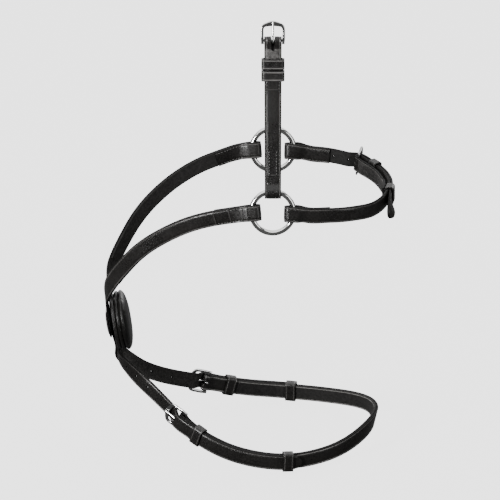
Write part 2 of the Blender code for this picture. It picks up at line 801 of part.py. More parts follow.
def build_chin_fittings(route, parts, leather, steel):
    far_heel, near_heel = chin_heels(route)
    low = -top_of(CHIN_PADDING) - PADDING_EASE
    high = top_of(CHIN_LEATHER) + BILLET_GAP + NOSE_LEATHER
    for side, heel, way, places in (
        ("near", near_heel, -1, NEAR_KEEPERS), ("far", far_heel, 1, FAR_KEEPERS),
    ):
        frame_seat = Seat(route, heel, 0, -way, FRAME_TILT)
        build_buckle(f"{side}_chin", frame_seat, frame_seat, steel, parts)
        for kind, x in zip(("fixed", "loose"), places):
            s = place_at_x(route, x, 1 if side == "far" else -1)
            keeper(f"{side}_chin_{kind}_keeper", Seat(route, s, 0, 1), STRAP_WIDTH / 2,
                   low, high, leather, parts)


def build_cheek_strap(parts, cutters, leather, steel):
    route = cheek_route()
    outer = layer(CHEEK_LEATHER)
    heel = CHEEK_LENGTH

    def width(s):
        return CHEEK_WIDTH_FOOT + (CHEEK_WIDTH_TOP - CHEEK_WIDTH_FOOT) * s / CHEEK_LENGTH

    foot = fold_points(0, CHEEK_BORE, CHEEK_LEATHER, outer, -outer, LOOP_TAPER, 1)
    top = fold_points(heel, FOLD_BORE, CHEEK_LEATHER, outer, -outer, FOLD_TAPER, -1)
    foot_tail = stations(RETURN_LENGTH, LOOP_TAPER + 4 * MM, lambda s: -outer)
    top_tail = stations(heel - CHEEK_RETURN, heel - FOLD_TAPER - 4 * MM, lambda s: -outer)
    body = stations(LOOP_TAPER + 4 * MM, heel - FOLD_TAPER - 4 * MM, lambda s: outer)
    path = foot_tail + foot + body + (top_tail + top)[::-1]
    item = strip("cheek_strap", route, path, CHEEK_LEATHER, width, leather, parts)
    swing = route.frame(0)[0]
    item.data.transform(Matrix.Translation(-swing))
    item.matrix_world = Matrix.Translation(swing)
    seat = Seat(route, heel, 0, 1)
    add_cut(item, slot_cutter("cheek_slot", seat, cutters))
    build_buckle("cheek", seat, seat, steel, parts)
    low = -layer(CHEEK_LEATHER) - CHEEK_LEATHER / 2
    high = -low + CHEEK_BILLET_ROOM
    for kind, back in (("fixed", 23.5 * MM), ("loose", 35.3 * MM)):
        keeper(f"cheek_{kind}_keeper", Seat(route, heel - back, 0, 1),
               CHEEK_WIDTH_TOP / 2 + 0.9 * MM, low, high, leather, parts)


def build_jaw(parts, cutters, leather, steel):
    route = jaw_route()
    outer = layer(JAW_LEATHER)
    heel = route.nearest(JAW_HEEL)
    end = route.length
    near = ring_loop(end, JAW_LEATHER, outer, -1)
    near_tail = stations(end - RETURN_LENGTH, end - LOOP_END - 4 * MM, lambda s: -outer)
    spread = -outer - KEEPER_LEATHER - 2 * JAW_KEEPER_ROOM - GAP
    turn = fold_points(heel, FOLD_BORE, JAW_LEATHER, outer, spread, FOLD_TAPER, 1)
    tail = stations(heel + JAW_RETURN, heel + FOLD_TAPER + 4 * MM, lambda s: spread)
    body = stations(heel + FOLD_TAPER + 4 * MM, end - LOOP_END - 4 * MM, lambda s: outer)
    strap = strip("jaw_strap", route, tail + turn + body + (near_tail + near)[::-1],
                  JAW_LEATHER, even_width(STRAP_WIDTH), leather, parts)
    frame_seat = Seat(route, heel, 0, -1, JAW_FRAME_TILT)
    add_cut(strap, slot_cutter("jaw_slot", Seat(route, heel, 0, -1), cutters))
    build_buckle("jaw", frame_seat, frame_seat, steel, parts)

    ridge = top_of(JAW_LEATHER) + BILLET_GAP + JAW_LEATHER / 2
    loose = route.nearest(JAW_LOOSE)
    fixed = heel + JAW_FIXED
    billet, tip_end = jaw_billet_route(route, loose)
    keys = [(LOOP_END, outer)] + billet_heights(heel, 1, outer, JAW_LEATHER, JAW_LEATHER, tip_end)
    height = heights(*keys)
    turn = ring_loop(0, JAW_LEATHER, outer, 1)
    tail = stations(RETURN_LENGTH, LOOP_END + 4 * MM, lambda s: -outer)
    body = stations(LOOP_END + 4 * MM, tip_end - TIP_LENGTH - 4 * MM, height)
    item = strip("jaw_billet", billet, tail + turn + body + tip_stations(tip_end, 1, height),
                 JAW_LEATHER, pointed_width(STRAP_WIDTH, tip_end, 1), leather, parts)
    places = [route.nearest(Vector(p) * MM) for p in JAW_HOLES]
    add_cut(item, holes_cutter("jaw_holes", route, places, outer, cutters))
    add_cut(item, tongue_clearance("jaw_tongue_slot", frame_seat, LIFT, cutters))

    high = ridge + JAW_LEATHER / 2
    keeper("jaw_fixed_keeper", Seat(route, fixed, 0, 1), STRAP_WIDTH / 2,
           outer - JAW_LEATHER / 2, high, leather, parts, JAW_KEEPER_ROOM)
    keeper("jaw_loose_keeper", Seat(route, loose, 0, 1), STRAP_WIDTH / 2,
           outer - JAW_LEATHER / 2, high, leather, parts, JAW_LOOSE_ROOM)


def jaw_billet_route(route, loose):
    """The jaw route up to the loose keeper, then the free tip, turned down."""
    steps = np.linspace(0, loose + KEEPER_LENGTH / 2, 24)
    frames = [route.frame(s) for s in steps]
    points = [f[0] for f in frames]
    facings = [f[3] for f in frames]
    start, face = points[-1], facings[-1]
    radius = FREE_TIP / FREE_TIP_TURN
    for share in (0.2, 0.4, 0.6, 0.8, 1):
        angle = FREE_TIP_TURN * share
        drop = Vector((FREE_TIP_SIDE * share, -radius * math.sin(angle),
                       -radius * (1 - math.cos(angle))))
        points.append(start + drop)
        facings.append(face.lerp(Vector(FREE_TIP_FACE), share).normalized())
    billet = Route(points, facings)
    return billet, billet.length


def build_pad(parts, leather, soft):
    turn = Matrix((PAD_UP, PAD_OUT.cross(PAD_UP), PAD_OUT)).transposed().to_4x4()

    def raised(height):
        return Matrix.Translation(PAD_OUT * height) @ turn

    r, depth = CUSHION_RADIUS, CUSHION_DEPTH
    lobes = (
        (3.4, 1), (1.4, 0.95), (0.5, 0.84), (0.8, 0.73), (1.8, 0.66), (0.8, 0.59),
        (0, 0.48), (0.7, 0.36), (2.4, 0.25), (5, 0.15), (9, 0.07), (13, 0.02),
    )
    cushion = [(0, depth)] + [(r - inset * MM, depth * share) for inset, share in lobes]
    cushion += [(CUSHION_FLAT, 0), (0, 0)]
    turned("nose_pad_cushion", cushion, raised(0), 36, soft, parts)
    base = CUSHION_DEPTH + GAP
    top = base + BACKING_DEPTH
    edge = 0.6 * MM
    backing = [
        (0, top), (BACKING_RADIUS - edge, top), (BACKING_RADIUS, top - edge),
        (BACKING_RADIUS, base + edge), (BACKING_RADIUS - edge, base), (0, base),
    ]
    turned("nose_pad_backing", backing, raised(0), 36, leather, parts)
    foot = top + 2 * PAD_GAP + GAP + 2 * NOSE_LEATHER
    crown = foot + CAP_DEPTH
    cap = [
        (0, crown), (6 * MM, crown - 0.3 * MM), (11 * MM, crown - 0.9 * MM),
        (14 * MM, crown - 1.7 * MM), (CAP_RADIUS, crown - 2.5 * MM),
        (CAP_RADIUS - 0.3 * MM, foot), (0, foot),
    ]
    turned("nose_pad_cap", cap, raised(0), 32, leather, parts)


def main():
    clear_scene()
    parts = new_collection("mexican_noseband")
    cutters = new_collection("cutters")
    leather = leather_material("strap_leather")
    lining = new_material("lining_leather", (0.02, 0.018, 0.017), 0.6, 0)
    soft = new_material("pad_leather", (0.013, 0.012, 0.012), 0.3, 0)
    steel = steel_material("stainless_steel")

    ring("near_ring", NEAR_RING, steel, parts)
    ring("far_ring", FAR_RING, steel, parts)
    route = eight_route()
    build_nose_straps(route, parts, cutters, leather, lining)
    build_chin_strap(route, parts, leather, lining, cutters)
    build_chin_fittings(route, parts, leather, steel)
    build_cheek_strap(parts, cutters, leather, steel)
    build_jaw(parts, cutters, leather, steel)
    build_pad(parts, leather, soft)


main()
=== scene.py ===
"""Looks of a figure-eight noseband: black bridle leather, steel fittings and a nose pad."""

import math
from functools import partialmethod

import bpy
import numpy as np
from mathutils import Matrix, Vector


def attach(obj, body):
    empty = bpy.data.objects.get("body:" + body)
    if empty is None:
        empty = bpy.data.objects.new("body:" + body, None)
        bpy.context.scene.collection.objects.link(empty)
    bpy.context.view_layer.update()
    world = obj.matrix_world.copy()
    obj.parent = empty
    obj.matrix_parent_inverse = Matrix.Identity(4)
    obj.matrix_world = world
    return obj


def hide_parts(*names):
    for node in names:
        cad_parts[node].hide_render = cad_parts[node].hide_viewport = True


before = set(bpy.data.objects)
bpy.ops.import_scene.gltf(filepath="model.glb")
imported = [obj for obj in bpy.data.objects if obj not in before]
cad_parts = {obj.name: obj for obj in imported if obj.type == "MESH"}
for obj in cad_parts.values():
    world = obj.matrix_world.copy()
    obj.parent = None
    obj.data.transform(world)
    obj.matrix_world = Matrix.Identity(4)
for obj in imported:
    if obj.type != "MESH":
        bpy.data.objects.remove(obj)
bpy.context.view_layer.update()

MM = 0.001


# Materials

class Value:
    """A shader socket that can be used in sums."""

    def __init__(self, tree, socket):
        self.tree = tree
        self.socket = socket

    def _math(self, operation, other=0.0, swap=False):
        node = self.tree.nodes.new("ShaderNodeMath")
        node.operation = operation
        for slot, term in zip(node.inputs, (other, self) if swap else (self, other)):
            if isinstance(term, Value):
                self.tree.links.new(term.socket, slot)
            else:
                slot.default_value = term
        return Value(self.tree, node.outputs[0])

    __add__ = __radd__ = partialmethod(_math, "ADD")
    __sub__ = partialmethod(_math, "SUBTRACT")
    __rsub__ = partialmethod(_math, "SUBTRACT", swap=True)
    __mul__ = __rmul__ = partialmethod(_math, "MULTIPLY")
    __truediv__ = partialmethod(_math, "DIVIDE")
    above = partialmethod(_math, "GREATER_THAN")
    below = partialmethod(_math, "LESS_THAN")
    highest = partialmethod(_math, "MAXIMUM")
    size = partialmethod(_math, "ABSOLUTE")

    def ridge(self, reach, peak=1.0):
        """Peak where this value is 0, falling to 0 over reach times peak on both sides."""
        return (peak - self.size() / reach).highest(0.0)


class Finish:
    """One material and the nodes that give it its look."""

    def __init__(self, name):
        self.material = bpy.data.materials.new(name)
        self.material.use_nodes = True
        self.tree = self.material.node_tree
        self.shader = self.tree.nodes["Principled BSDF"]
        self.place = self.node("TexCoord", output=3)

    def node(self, kind, output=0, settings=None, stops=None, **values):
        made = self.tree.nodes.new("ShaderNode" + kind)
        for key, value in (settings or {}).items():
            setattr(made, key, value)
        if stops:
            ramp = made.color_ramp
            while len(ramp.elements) < len(stops):
                ramp.elements.new(0.5)
            for element, (place, shade) in zip(ramp.elements, stops):
                element.position = place
                element.color = (shade, shade, shade, 1)
        for key, value in values.items():
            self.put(made.inputs[key.replace("_", " ")], value)
        return Value(self.tree, made.outputs[output])

    def put(self, slot, value):
        if isinstance(value, Value):
            self.tree.links.new(value.socket, slot)
        else:
            slot.default_value = value

    def surface(self, **values):
        """The finished material, with these values on its shader."""
        for key, value in values.items():
            self.put(self.shader.inputs[key.replace("_", " ")], value)
        return self.material

    def colours(self, share, first, second):
        """A colour that goes from first to second as share goes from 0 to 1."""
        mix = self.tree.nodes.new("ShaderNodeMix")
        mix.data_type = "RGBA"
        self.put(mix.inputs["Factor"], share)
        slots = [s for s in mix.inputs if s.type == "RGBA"]
        for slot, colour in zip(slots, (first, second)):
            self.put(slot, colour if isinstance(colour, Value) else (*colour, 1))
        return Value(self.tree, [s for s in mix.outputs if s.type == "RGBA"][0])

    def bump(self, height, distance, strength=1.0):
        return self.node("Bump", Height=height, Distance=distance, Strength=strength)

    def noise(self, scale, detail, **more):
        return self.node("TexNoise", Vector=self.place, Scale=scale, Detail=detail, **more)

    def parts(self, vector):
        """The three numbers of a vector."""
        split = self.tree.nodes.new("ShaderNodeSeparateXYZ")
        self.put(split.inputs[0], vector)
        return [Value(self.tree, socket) for socket in split.outputs]

    def pattern(self):
        """The flat pattern of a strap, in metres: along, across and height."""
        return self.node("Attribute", output=1, settings={"attribute_name": "pattern"})


BLACK = (0.0028, 0.0026, 0.0025)
BLACK_WORN = (0.0105, 0.0098, 0.0092)
# Painted highlight colours, laid along pressed lines and beside cross lines.
PAINTED_HIGHLIGHT = (0.075, 0.072, 0.07)
BRIGHT_PAINTED_HIGHLIGHT = (0.18, 0.175, 0.17)
# Painted shade for the grooves that stitches lie in.
GROOVE_SHADE = (0.0008, 0.0008, 0.0007)
SCUFF = (0.075, 0.072, 0.07)


def bridle_leather(name, line=None, pale=PAINTED_HIGHLIGHT, cross=(), scuffed=None, rub=0.9, seams=(),
                   coat=0.06):
    """Dyed and waxed strap leather: pores, faint wrinkles, uneven shine and creased lines.

    line is how far the pressed line lies from the strap's middle, and pale the colour of the
    highlight painted along it. cross holds the places along the strap of pressed cross lines,
    each painted dark as shade with a painted highlight beside it, scuffed a stretch of it
    that is rubbed (rub says how much), and seams the grooves that stitches lie in, painted dark
    as shade, as (distance from the middle, from, to). coat is the share of clear glaze.
    """
    finish = Finish(name)
    pore = finish.node("TexVoronoi", settings={"feature": "DISTANCE_TO_EDGE"},
                       Vector=finish.place, Scale=1150.0)
    grain = finish.noise(620.0, 3.0, Roughness=0.65)
    wrinkle = finish.noise(210.0, 5.0, Roughness=0.6)
    cloud = finish.noise(34.0, 3.0)
    shade = finish.node("ValToRGB", Fac=grain * 0.75 + cloud * 0.25,
                        stops=((0.36, 0.0), (0.68, 1.0)))
    colour = finish.colours(shade, BLACK, BLACK_WORN)
    rough = 0.31 + (cloud - 0.5) * 0.3 + (grain - 0.5) * 0.22
    height = pore.below(0.12) * -0.35 + grain * 0.45 + wrinkle * 0.7
    if line or cross or scuffed or seams:
        along, across, _ = finish.parts(finish.pattern())
    if scuffed:
        low, high = scuffed
        rubbed = along.above(low) * along.below(high)
        spots = finish.noise(430.0, 3.0, Roughness=0.7)
        spots = finish.node("ValToRGB", Fac=spots, stops=((0.34, 0.0), (0.7, 1.0)))
        colour = finish.colours(rubbed * rub, colour,
                                finish.colours(spots, (0.014, 0.0135, 0.013), SCUFF))
        rough = rough + rubbed * 0.12
        height = height + rubbed * spots * 1.6
    # The pressed line is painted pale as a highlight along the crease, and is made smoother there.
    if line:
        pressed = (across.size() - line).ridge(0.7 * MM)
        colour = finish.colours(pressed * (cloud * 0.7 + 0.3), colour, pale)
        rough = rough - pressed * 0.12
    # Each cross line is a dent painted near-black as shade, with a painted highlight (glint) just
    # beside it.
    for at in cross:
        dent_and_shade = (along - at).ridge(0.55 * MM)
        glint = (along - at - 0.9 * MM).ridge(0.5 * MM)
        colour = finish.colours(dent_and_shade, colour, (0.0012, 0.0011, 0.001))
        colour = finish.colours(glint * 0.45, colour, PAINTED_HIGHLIGHT)
        height = height - dent_and_shade * 2.5
    # Stitch grooves are sunk, and painted near-black as shade.
    for inset, low, high in seams:
        groove_and_shade = (across.size() - inset).ridge(0.95 * MM, 1.3)
        groove_and_shade = groove_and_shade * along.above(low) * along.below(high)
        colour = finish.colours(groove_and_shade, colour, GROOVE_SHADE)
        height = height - groove_and_shade * 1.5
    return finish.surface(Base_Color=colour, Roughness=rough,
                          Normal=finish.bump(height, 0.13 * MM, 0.6), Coat_Weight=coat,
                          Coat_Roughness=0.16, Specular_IOR_Level=0.2)


def edge_dye(name):
    """Cut edges, dyed, burnished and dull."""
    finish = Finish(name)
    rub = finish.noise(240.0, 3.0)
    colour = finish.colours(rub, (0.0014, 0.0013, 0.0012), (0.004, 0.0038, 0.0036))
    return finish.surface(Base_Color=colour, Roughness=0.45 + rub * 0.2,
                          Normal=finish.bump(rub, 0.08 * MM, 0.4), Specular_IOR_Level=0.08)


def flesh_leather(name, dark, pale, line=None):
    """The unfinished side of a strap: short matted fibres, and the edge lines, with a painted
    highlight, if it has any.
    """
    finish = Finish(name)
    fibre = finish.noise(1500.0, 6.0, Roughness=0.7)
    tuft = finish.noise(380.0, 4.0)
    share = finish.node("ValToRGB", Fac=fibre * 0.5 + tuft * 0.5,
                        stops=((0.38, 0.0), (0.66, 1.0)))
    colour = finish.colours(share, dark, pale)
    if line:
        _, across, _ = finish.parts(finish.pattern())
        # A pale colour along the edge line: a painted highlight.
        pressed = (across.size() - line).ridge(0.6 * MM)
        colour = finish.colours(pressed * (tuft * 0.8 + 0.2), colour, (0.2, 0.194, 0.188))
    return finish.surface(Base_Color=colour, Roughness=0.78 + (tuft - 0.5) * 0.2,
                          Normal=finish.bump(fibre * 0.6 + tuft, 0.3 * MM, 0.8),
                          Specular_IOR_Level=0.15)


def padded_leather(name):
    """Soft glove leather, polished, drawn into small puckers where it is stretched."""
    finish = Finish(name)
    grain = finish.node("TexVoronoi", settings={"feature": "DISTANCE_TO_EDGE"},
                        Vector=finish.place, Scale=900.0)
    crease = finish.noise(150.0, 6.0, Distortion=0.6)
    cloud = finish.noise(60.0, 2.0)
    return finish.surface(
        Base_Color=finish.colours(cloud, (0.0022, 0.0021, 0.002), (0.006, 0.0056, 0.0052)),
        Roughness=0.2 + cloud * 0.24, Coat_Weight=0.05, Coat_Roughness=0.18,
        Normal=finish.bump(grain * 0.25 + crease * 1.2, 0.3 * MM, 0.7), Specular_IOR_Level=0.16)


def polished_steel(name, dark, pale):
    """Tumbled and buffed stainless steel, a little hazy."""
    finish = Finish(name)
    haze = finish.noise(120.0, 4.0)
    return finish.surface(Base_Color=finish.colours(haze, dark, pale), Metallic=1.0,
                          Roughness=0.07 + haze * 0.12, Normal=finish.bump(haze, 0.02 * MM, 0.25))


def waxed_thread(name):
    """Black waxed thread, twisted."""
    finish = Finish(name)
    twist = finish.noise(2600.0, 2.0)
    return finish.surface(
        Base_Color=finish.colours(twist, (0.01, 0.0096, 0.0092), (0.06, 0.057, 0.055)),
        Roughness=0.42 + twist * 0.2, Normal=finish.bump(twist, 0.1 * MM, 0.6))


LEATHER = bridle_leather("black bridle leather")
# Strap and keeper leathers with a painted highlight along their pressed lines.
STRAP_LEATHER = bridle_leather("black strap leather", line=6.5 * MM)
CHIN_LEATHER = bridle_leather("black chin strap leather", line=6.5 * MM, pale=BRIGHT_PAINTED_HIGHLIGHT)
KEEPER_LEATHER = bridle_leather("black keeper leather", line=3.75 * MM)
CHEEK_KEEPER = bridle_leather("black cheek keeper leather", line=3.75 * MM, pale=BRIGHT_PAINTED_HIGHLIGHT)
LINING = flesh_leather("black lining leather", (0.003, 0.0028, 0.0026), (0.013, 0.0122, 0.0118))
# The padding's edge lines carry a painted highlight.
PADDING_LEATHER = flesh_leather("black padding leather", (0.003, 0.0028, 0.0026),
                                (0.012, 0.0113, 0.011), line=6.4 * MM)
EDGE = edge_dye("black edge dye")
FLESH = flesh_leather("dyed flesh side", (0.005, 0.0048, 0.0046), (0.026, 0.0245, 0.0235))
# A darker copy of the flesh side, used on the jaw billet.
DARK_FLESH = flesh_leather("darker flesh side", (0.003, 0.0029, 0.0028),
                           (0.0125, 0.012, 0.0115))
PAD = padded_leather("black pad leather")
STEEL = polished_steel("polished stainless steel", (0.4, 0.4, 0.395), (0.52, 0.52, 0.51))
# A darker copy of the polished steel for the buckle frames: painted shade for the dark reflections
# they show.
SHADED_BUCKLE_STEEL = polished_steel("buckle steel with painted shade", (0.27, 0.27, 0.27), (0.38, 0.38, 0.375))
CAP_LEATHER = bridle_leather("black glazed cap leather", coat=0.7)
THREAD = waxed_thread("black waxed thread")


# Routes of the straps. Heights are measured out from a route, away from the horse.

# A strap's width, then the thickness of each layer and the room between layers.
STRAP = 16 * MM
NOSE = 2.4 * MM
LINER = 1.4 * MM
JAW = 2.2 * MM
CHIN = 1.8 * MM
PADDING = 2 * MM
PADDING_EASE = 0.2 * MM
CHEEK = 2.2 * MM
KEEPER = 1.5 * MM
KEEPER_LENGTH = 10.5 * MM
GAP = 0.3 * MM
BILLET_GAP = 0.5 * MM
# How far a strap's end is folded back from a ring, and the length of a billet's point.
RETURN = 37 * MM
TIP = 13 * MM
RING_RADIUS = 20.7 * MM
RING_WIRE = 2.2 * MM
# The loop round a ring: its hollow, how far it reaches past the wire, and where it closes.
LOOP_BORE = 2.9 * MM
LOOP_REACH = 4.2 * MM
LOOP_OPEN = 2.6 * MM
LOOP_TAPER = 10 * MM
LOOP_CLOSED = 12.6 * MM
LOOP_END = 16.6 * MM
LEAN = math.radians(15)
NOSE_DROP = math.radians(2.2)
JAW_DROP = math.radians(4.8)
NEAR_RING = Vector((142.2, -75, 153.2)) * MM
FAR_RING = Vector((142.7, 75, 153.2)) * MM
RING_UP = Vector((0, math.sin(LEAN), math.cos(LEAN)))
RING_FACE = Vector((0, -math.cos(LEAN), math.sin(LEAN)))
PAD_TILT = math.radians(10)
PAD_OUT = Vector((-math.cos(PAD_TILT), 0, -math.sin(PAD_TILT)))
PAD_UP = Vector((-math.sin(PAD_TILT), 0, math.cos(PAD_TILT)))
PAD_REACH = 27.5 * MM
PAD_SLANT = math.radians(15)
CUSHION_DEPTH = 12.4 * MM
PAD_GAP = 0.7 * MM
BACKING = 2 * MM
CROSSING = CUSHION_DEPTH + GAP + BACKING + PAD_GAP + NOSE + GAP / 2
LIFT = 0.15 * MM
STEP = 1.2 * MM
STITCH = 3.1 * MM
THREAD_SIZE = 0.42 * MM

# Points in mm on one side's middle line; the other side is the mirror image.
NOSE_POINTS = (
    (112.3, -74.8, 151.3), (99.3, -73, 148.5), (89.8, -70.6, 145.9), (73.8, -67.0, 140.8),
    (57.8, -62.8, 133.7), (41.8, -57.9, 124.1), (25.8, -51.5, 111.8), (9.8, -43.3, 95.6),
    (-5.7, -31.5, 73), (-17.7, -18.5, 50),
)
CHIN_POINTS = (
    (-9.8, 9, -39.5), (-2.2, 11.5, -49), (9.3, 15.2, -59.5), (21.8, 22.4, -68.8),
    (33.8, 32.5, -77.4), (49.8, 47.3, -88), (65.8, 61, -97), (81.8, 70.5, -103.7),
    (97.8, 76.3, -109.3), (121.8, 81, -114.8), (145.8, 82.6, -117.5), (169.8, 79, -118.2),
    (185.8, 73.5, -117.3), (201.8, 65.3, -115.5), (217.8, 53.2, -112.3), (230.8, 38.5, -108.5),
    (241, 20.5, -105.2),
)
JAW_POINTS = (
    (170, 74.9, 151), (179, 74, 149.2), (193.8, 71.8, 148.4), (209.8, 68.2, 147.6),
    (225.8, 60.2, 146), (239.3, 49, 144), (249, 34.5, 143.5), (255.3, 17.5, 143.3),
)
CHIN_MIDDLE = Vector((245, 0, -104)) * MM
JAW_MIDDLE = Vector((257.6, 0, 143.3)) * MM


class Route:
    """The smooth line that a strap follows through its points, and the way it faces."""

    def __init__(self, points, facings):
        self.rows = np.hstack([np.array(points, float), np.array(facings, float)])
        spans = np.linalg.norm(np.diff(self.rows[:, :3], axis=0), axis=1)
        self.knots = np.concatenate([[0], np.cumsum(spans)])
        matrix = np.eye(len(self.knots))
        right = np.zeros_like(self.rows)
        for i in range(1, len(self.knots) - 1):
            before, after = spans[i - 1], spans[i]
            matrix[i, i - 1:i + 2] = (before, 2 * (before + after), after)
            right[i] = 6 * ((self.rows[i + 1] - self.rows[i]) / after
                            - (self.rows[i] - self.rows[i - 1]) / before)
        self.bends = np.linalg.solve(matrix, right)
        self.grid = np.linspace(0, self.knots[-1], 1500)
        self.places = self._value(self.grid)[:, :3]
        steps = np.linalg.norm(np.diff(self.places, axis=0), axis=1)
        self.arc = np.concatenate([[0], np.cumsum(steps)])
        self.length = float(self.arc[-1])

    def _value(self, t):
        i = np.clip(np.searchsorted(self.knots, t) - 1, 0, len(self.knots) - 2)
        span = (self.knots[i + 1] - self.knots[i])[..., None]
        a = (self.knots[i + 1] - t)[..., None] / span
        b = 1 - a
        curve = (a ** 3 - a) * self.bends[i] + (b ** 3 - b) * self.bends[i + 1]
        return a * self.rows[i] + b * self.rows[i + 1] + curve * span ** 2 / 6

    def frames(self, s):
        """Places, across and out directions at the arc lengths s, straight past the ends."""
        s = np.atleast_1d(np.asarray(s, float))
        inside = np.clip(s, 0, self.length)
        t = np.interp(inside, self.arc, self.grid)
        low = np.maximum(t - 0.5 * MM, 0)
        high = np.minimum(t + 0.5 * MM, self.knots[-1])
        along = unit(self._value(high)[:, :3] - self._value(low)[:, :3])
        row = self._value(t)
        across = unit(np.cross(along, row[:, 3:]))
        place = row[:, :3] + along * (s - inside)[:, None]
        return place, along, across, np.cross(across, along)

    def nearest(self, target):
        gaps = np.linalg.norm(self.places - np.array(target), axis=1)
        return float(self.arc[int(np.argmin(gaps))])

    def at_x(self, x, side):
        """Arc length on the lower loop where the route has this x, on the far (1) or near side."""
        steps = np.arange(first_crossing(self) + 20 * MM, self.length / 2, 0.5 * MM)
        found = float(steps[int(np.argmin(np.abs(self.frames(steps)[0][:, 0] - x)))])
        return found if side == 1 else self.length - found


def unit(rows):
    return rows / np.linalg.norm(rows, axis=-1, keepdims=True)


def first_crossing(route):
    steps = np.arange(0, route.length / 2, 0.5 * MM)
    gaps = np.linalg.norm(route.frames(steps)[0] - np.array(PAD_OUT * CROSSING), axis=1)
    return float(steps[int(np.argmin(gaps))])


def route_through(points, fixed):
    """A route that faces outward, level, or as fixed says at a point's index."""
    facings = []
    last = len(points) - 1
    for i in range(last + 1):
        run = Vector(points[min(i + 1, last)]) - Vector(points[max(i - 1, 0)])
        facings.append(Vector(fixed.get(i, (-run.y, run.x, 0))).normalized())
    return Route(points, facings)


def metres(points):
    return [Vector(p) * MM for p in points]


def mirrored(points):
    return [Vector((p.x, -p.y, p.z)) for p in points]


def ring_seat(centre, side, drop):
    reach = Vector((side * math.cos(drop), 0, 0)) - RING_UP * math.sin(drop)
    return centre + reach * RING_RADIUS


def eight_route():
    """Near ring, nose, crossing, far side, chin, near side, crossing, far ring."""
    nose = metres(NOSE_POINTS)
    chin = metres(CHIN_POINTS)
    along = PAD_UP * math.cos(PAD_SLANT) - Vector((0, math.sin(PAD_SLANT), 0))
    pad = [PAD_OUT * CROSSING + along * PAD_REACH * k for k in (1, 0.5, 0, -0.5, -1)]
    points = [ring_seat(NEAR_RING, -1, NOSE_DROP)] + nose + pad + chin + [CHIN_MIDDLE]
    points += mirrored(chin)[::-1] + mirrored(pad)[::-1] + mirrored(nose)[::-1]
    points.append(ring_seat(FAR_RING, -1, NOSE_DROP))
    last = len(points) - 1
    first = len(nose) + 1
    fixed = {0: RING_FACE, 1: RING_FACE, last: -RING_FACE, last - 1: -RING_FACE,
             first - 1: (-0.8, -0.55, -0.1), last - first + 1: (-0.8, 0.55, -0.1)}
    for i in range(len(pad)):
        fixed[first + i] = PAD_OUT
        fixed[last - first - i] = PAD_OUT
    for i, (x, y, z) in enumerate(((-0.85, 0.5, -0.15), (-0.68, 0.72, -0.08), (-0.55, 0.83, 0))):
        fixed[first + len(pad) + i] = (x, y, z)
        fixed[last - first - len(pad) - i] = (x, -y, z)
    fixed[last // 2] = (0.97, 0, -0.24)
    fixed[last // 2 - 1] = (0.93, 0.36, -0.11)
    fixed[last // 2 + 1] = (0.93, -0.36, -0.11)
    return route_through(points, fixed)


def jaw_route():
    """Far ring, round the jaw, near ring."""
    half = metres(JAW_POINTS)
    points = [ring_seat(FAR_RING, 1, JAW_DROP)] + half + [JAW_MIDDLE] + mirrored(half)[::-1]
    points.append(ring_seat(NEAR_RING, 1, JAW_DROP))
    return route_through(points, {0: -RING_FACE, len(points) - 1: RING_FACE})


def ease(value, low, high):
    t = np.clip((np.asarray(value, float) - low) / (high - low), 0, 1)
    return t * t * (3 - 2 * t)


def heights(*keys):
    """Height over the route that eases from each (s, height) key to the next."""
    keys = sorted(keys)

    def at(s):
        result = np.full(np.shape(s), keys[0][1], float)
        for (s0, h0), (s1, h1) in zip(keys, keys[1:]):
            result = result + (h1 - h0) * ease(s, s0, s1)
        return result

    return at


def run(start, end, height):
    """Side view of a strap from start to end, as (s, height) rows."""
    count = max(2, round(abs(end - start) / STEP))
    s = np.linspace(start, end, count + 1)
    return list(zip(s, height(s) if callable(height) else np.full(len(s), height)))


def layer(thickness):
    return thickness / 2 + GAP / 2


def top_of(thickness):
    return layer(thickness) + thickness / 2


def fold(at, bore, thickness, lean_out, lean_in, taper, way, straight=0.0):
    """Side view of a strap's end turned round a bar, from the inner leg to the outer."""
    turn = bore + thickness / 2
    inner, outer = [], []
    for share in np.linspace(1, 0, 10):
        if share == 0 and straight == 0:
            continue
        reach = at + way * (straight + taper * share)
        blend = float(ease(share, 0, 1))
        inner.append((reach, -turn + (lean_in + turn) * blend))
        outer.append((reach, turn + (lean_out - turn) * blend))
    angles = -math.pi / 2 + math.pi * np.linspace(0, 1, 19)
    arc = [(at - way * turn * math.cos(a), turn * math.sin(a)) for a in angles]
    return inner + arc + outer[::-1]


def ring_loop(at, thickness, way):
    """The end of a strap folded back round a ring's wire, with room for the wire to turn."""
    lean = layer(thickness)
    return run(at + way * RETURN, at + way * LOOP_END, -lean) + fold(
        at - way * LOOP_REACH, LOOP_BORE, thickness, lean, -lean, LOOP_TAPER, way,
        LOOP_REACH + LOOP_OPEN)


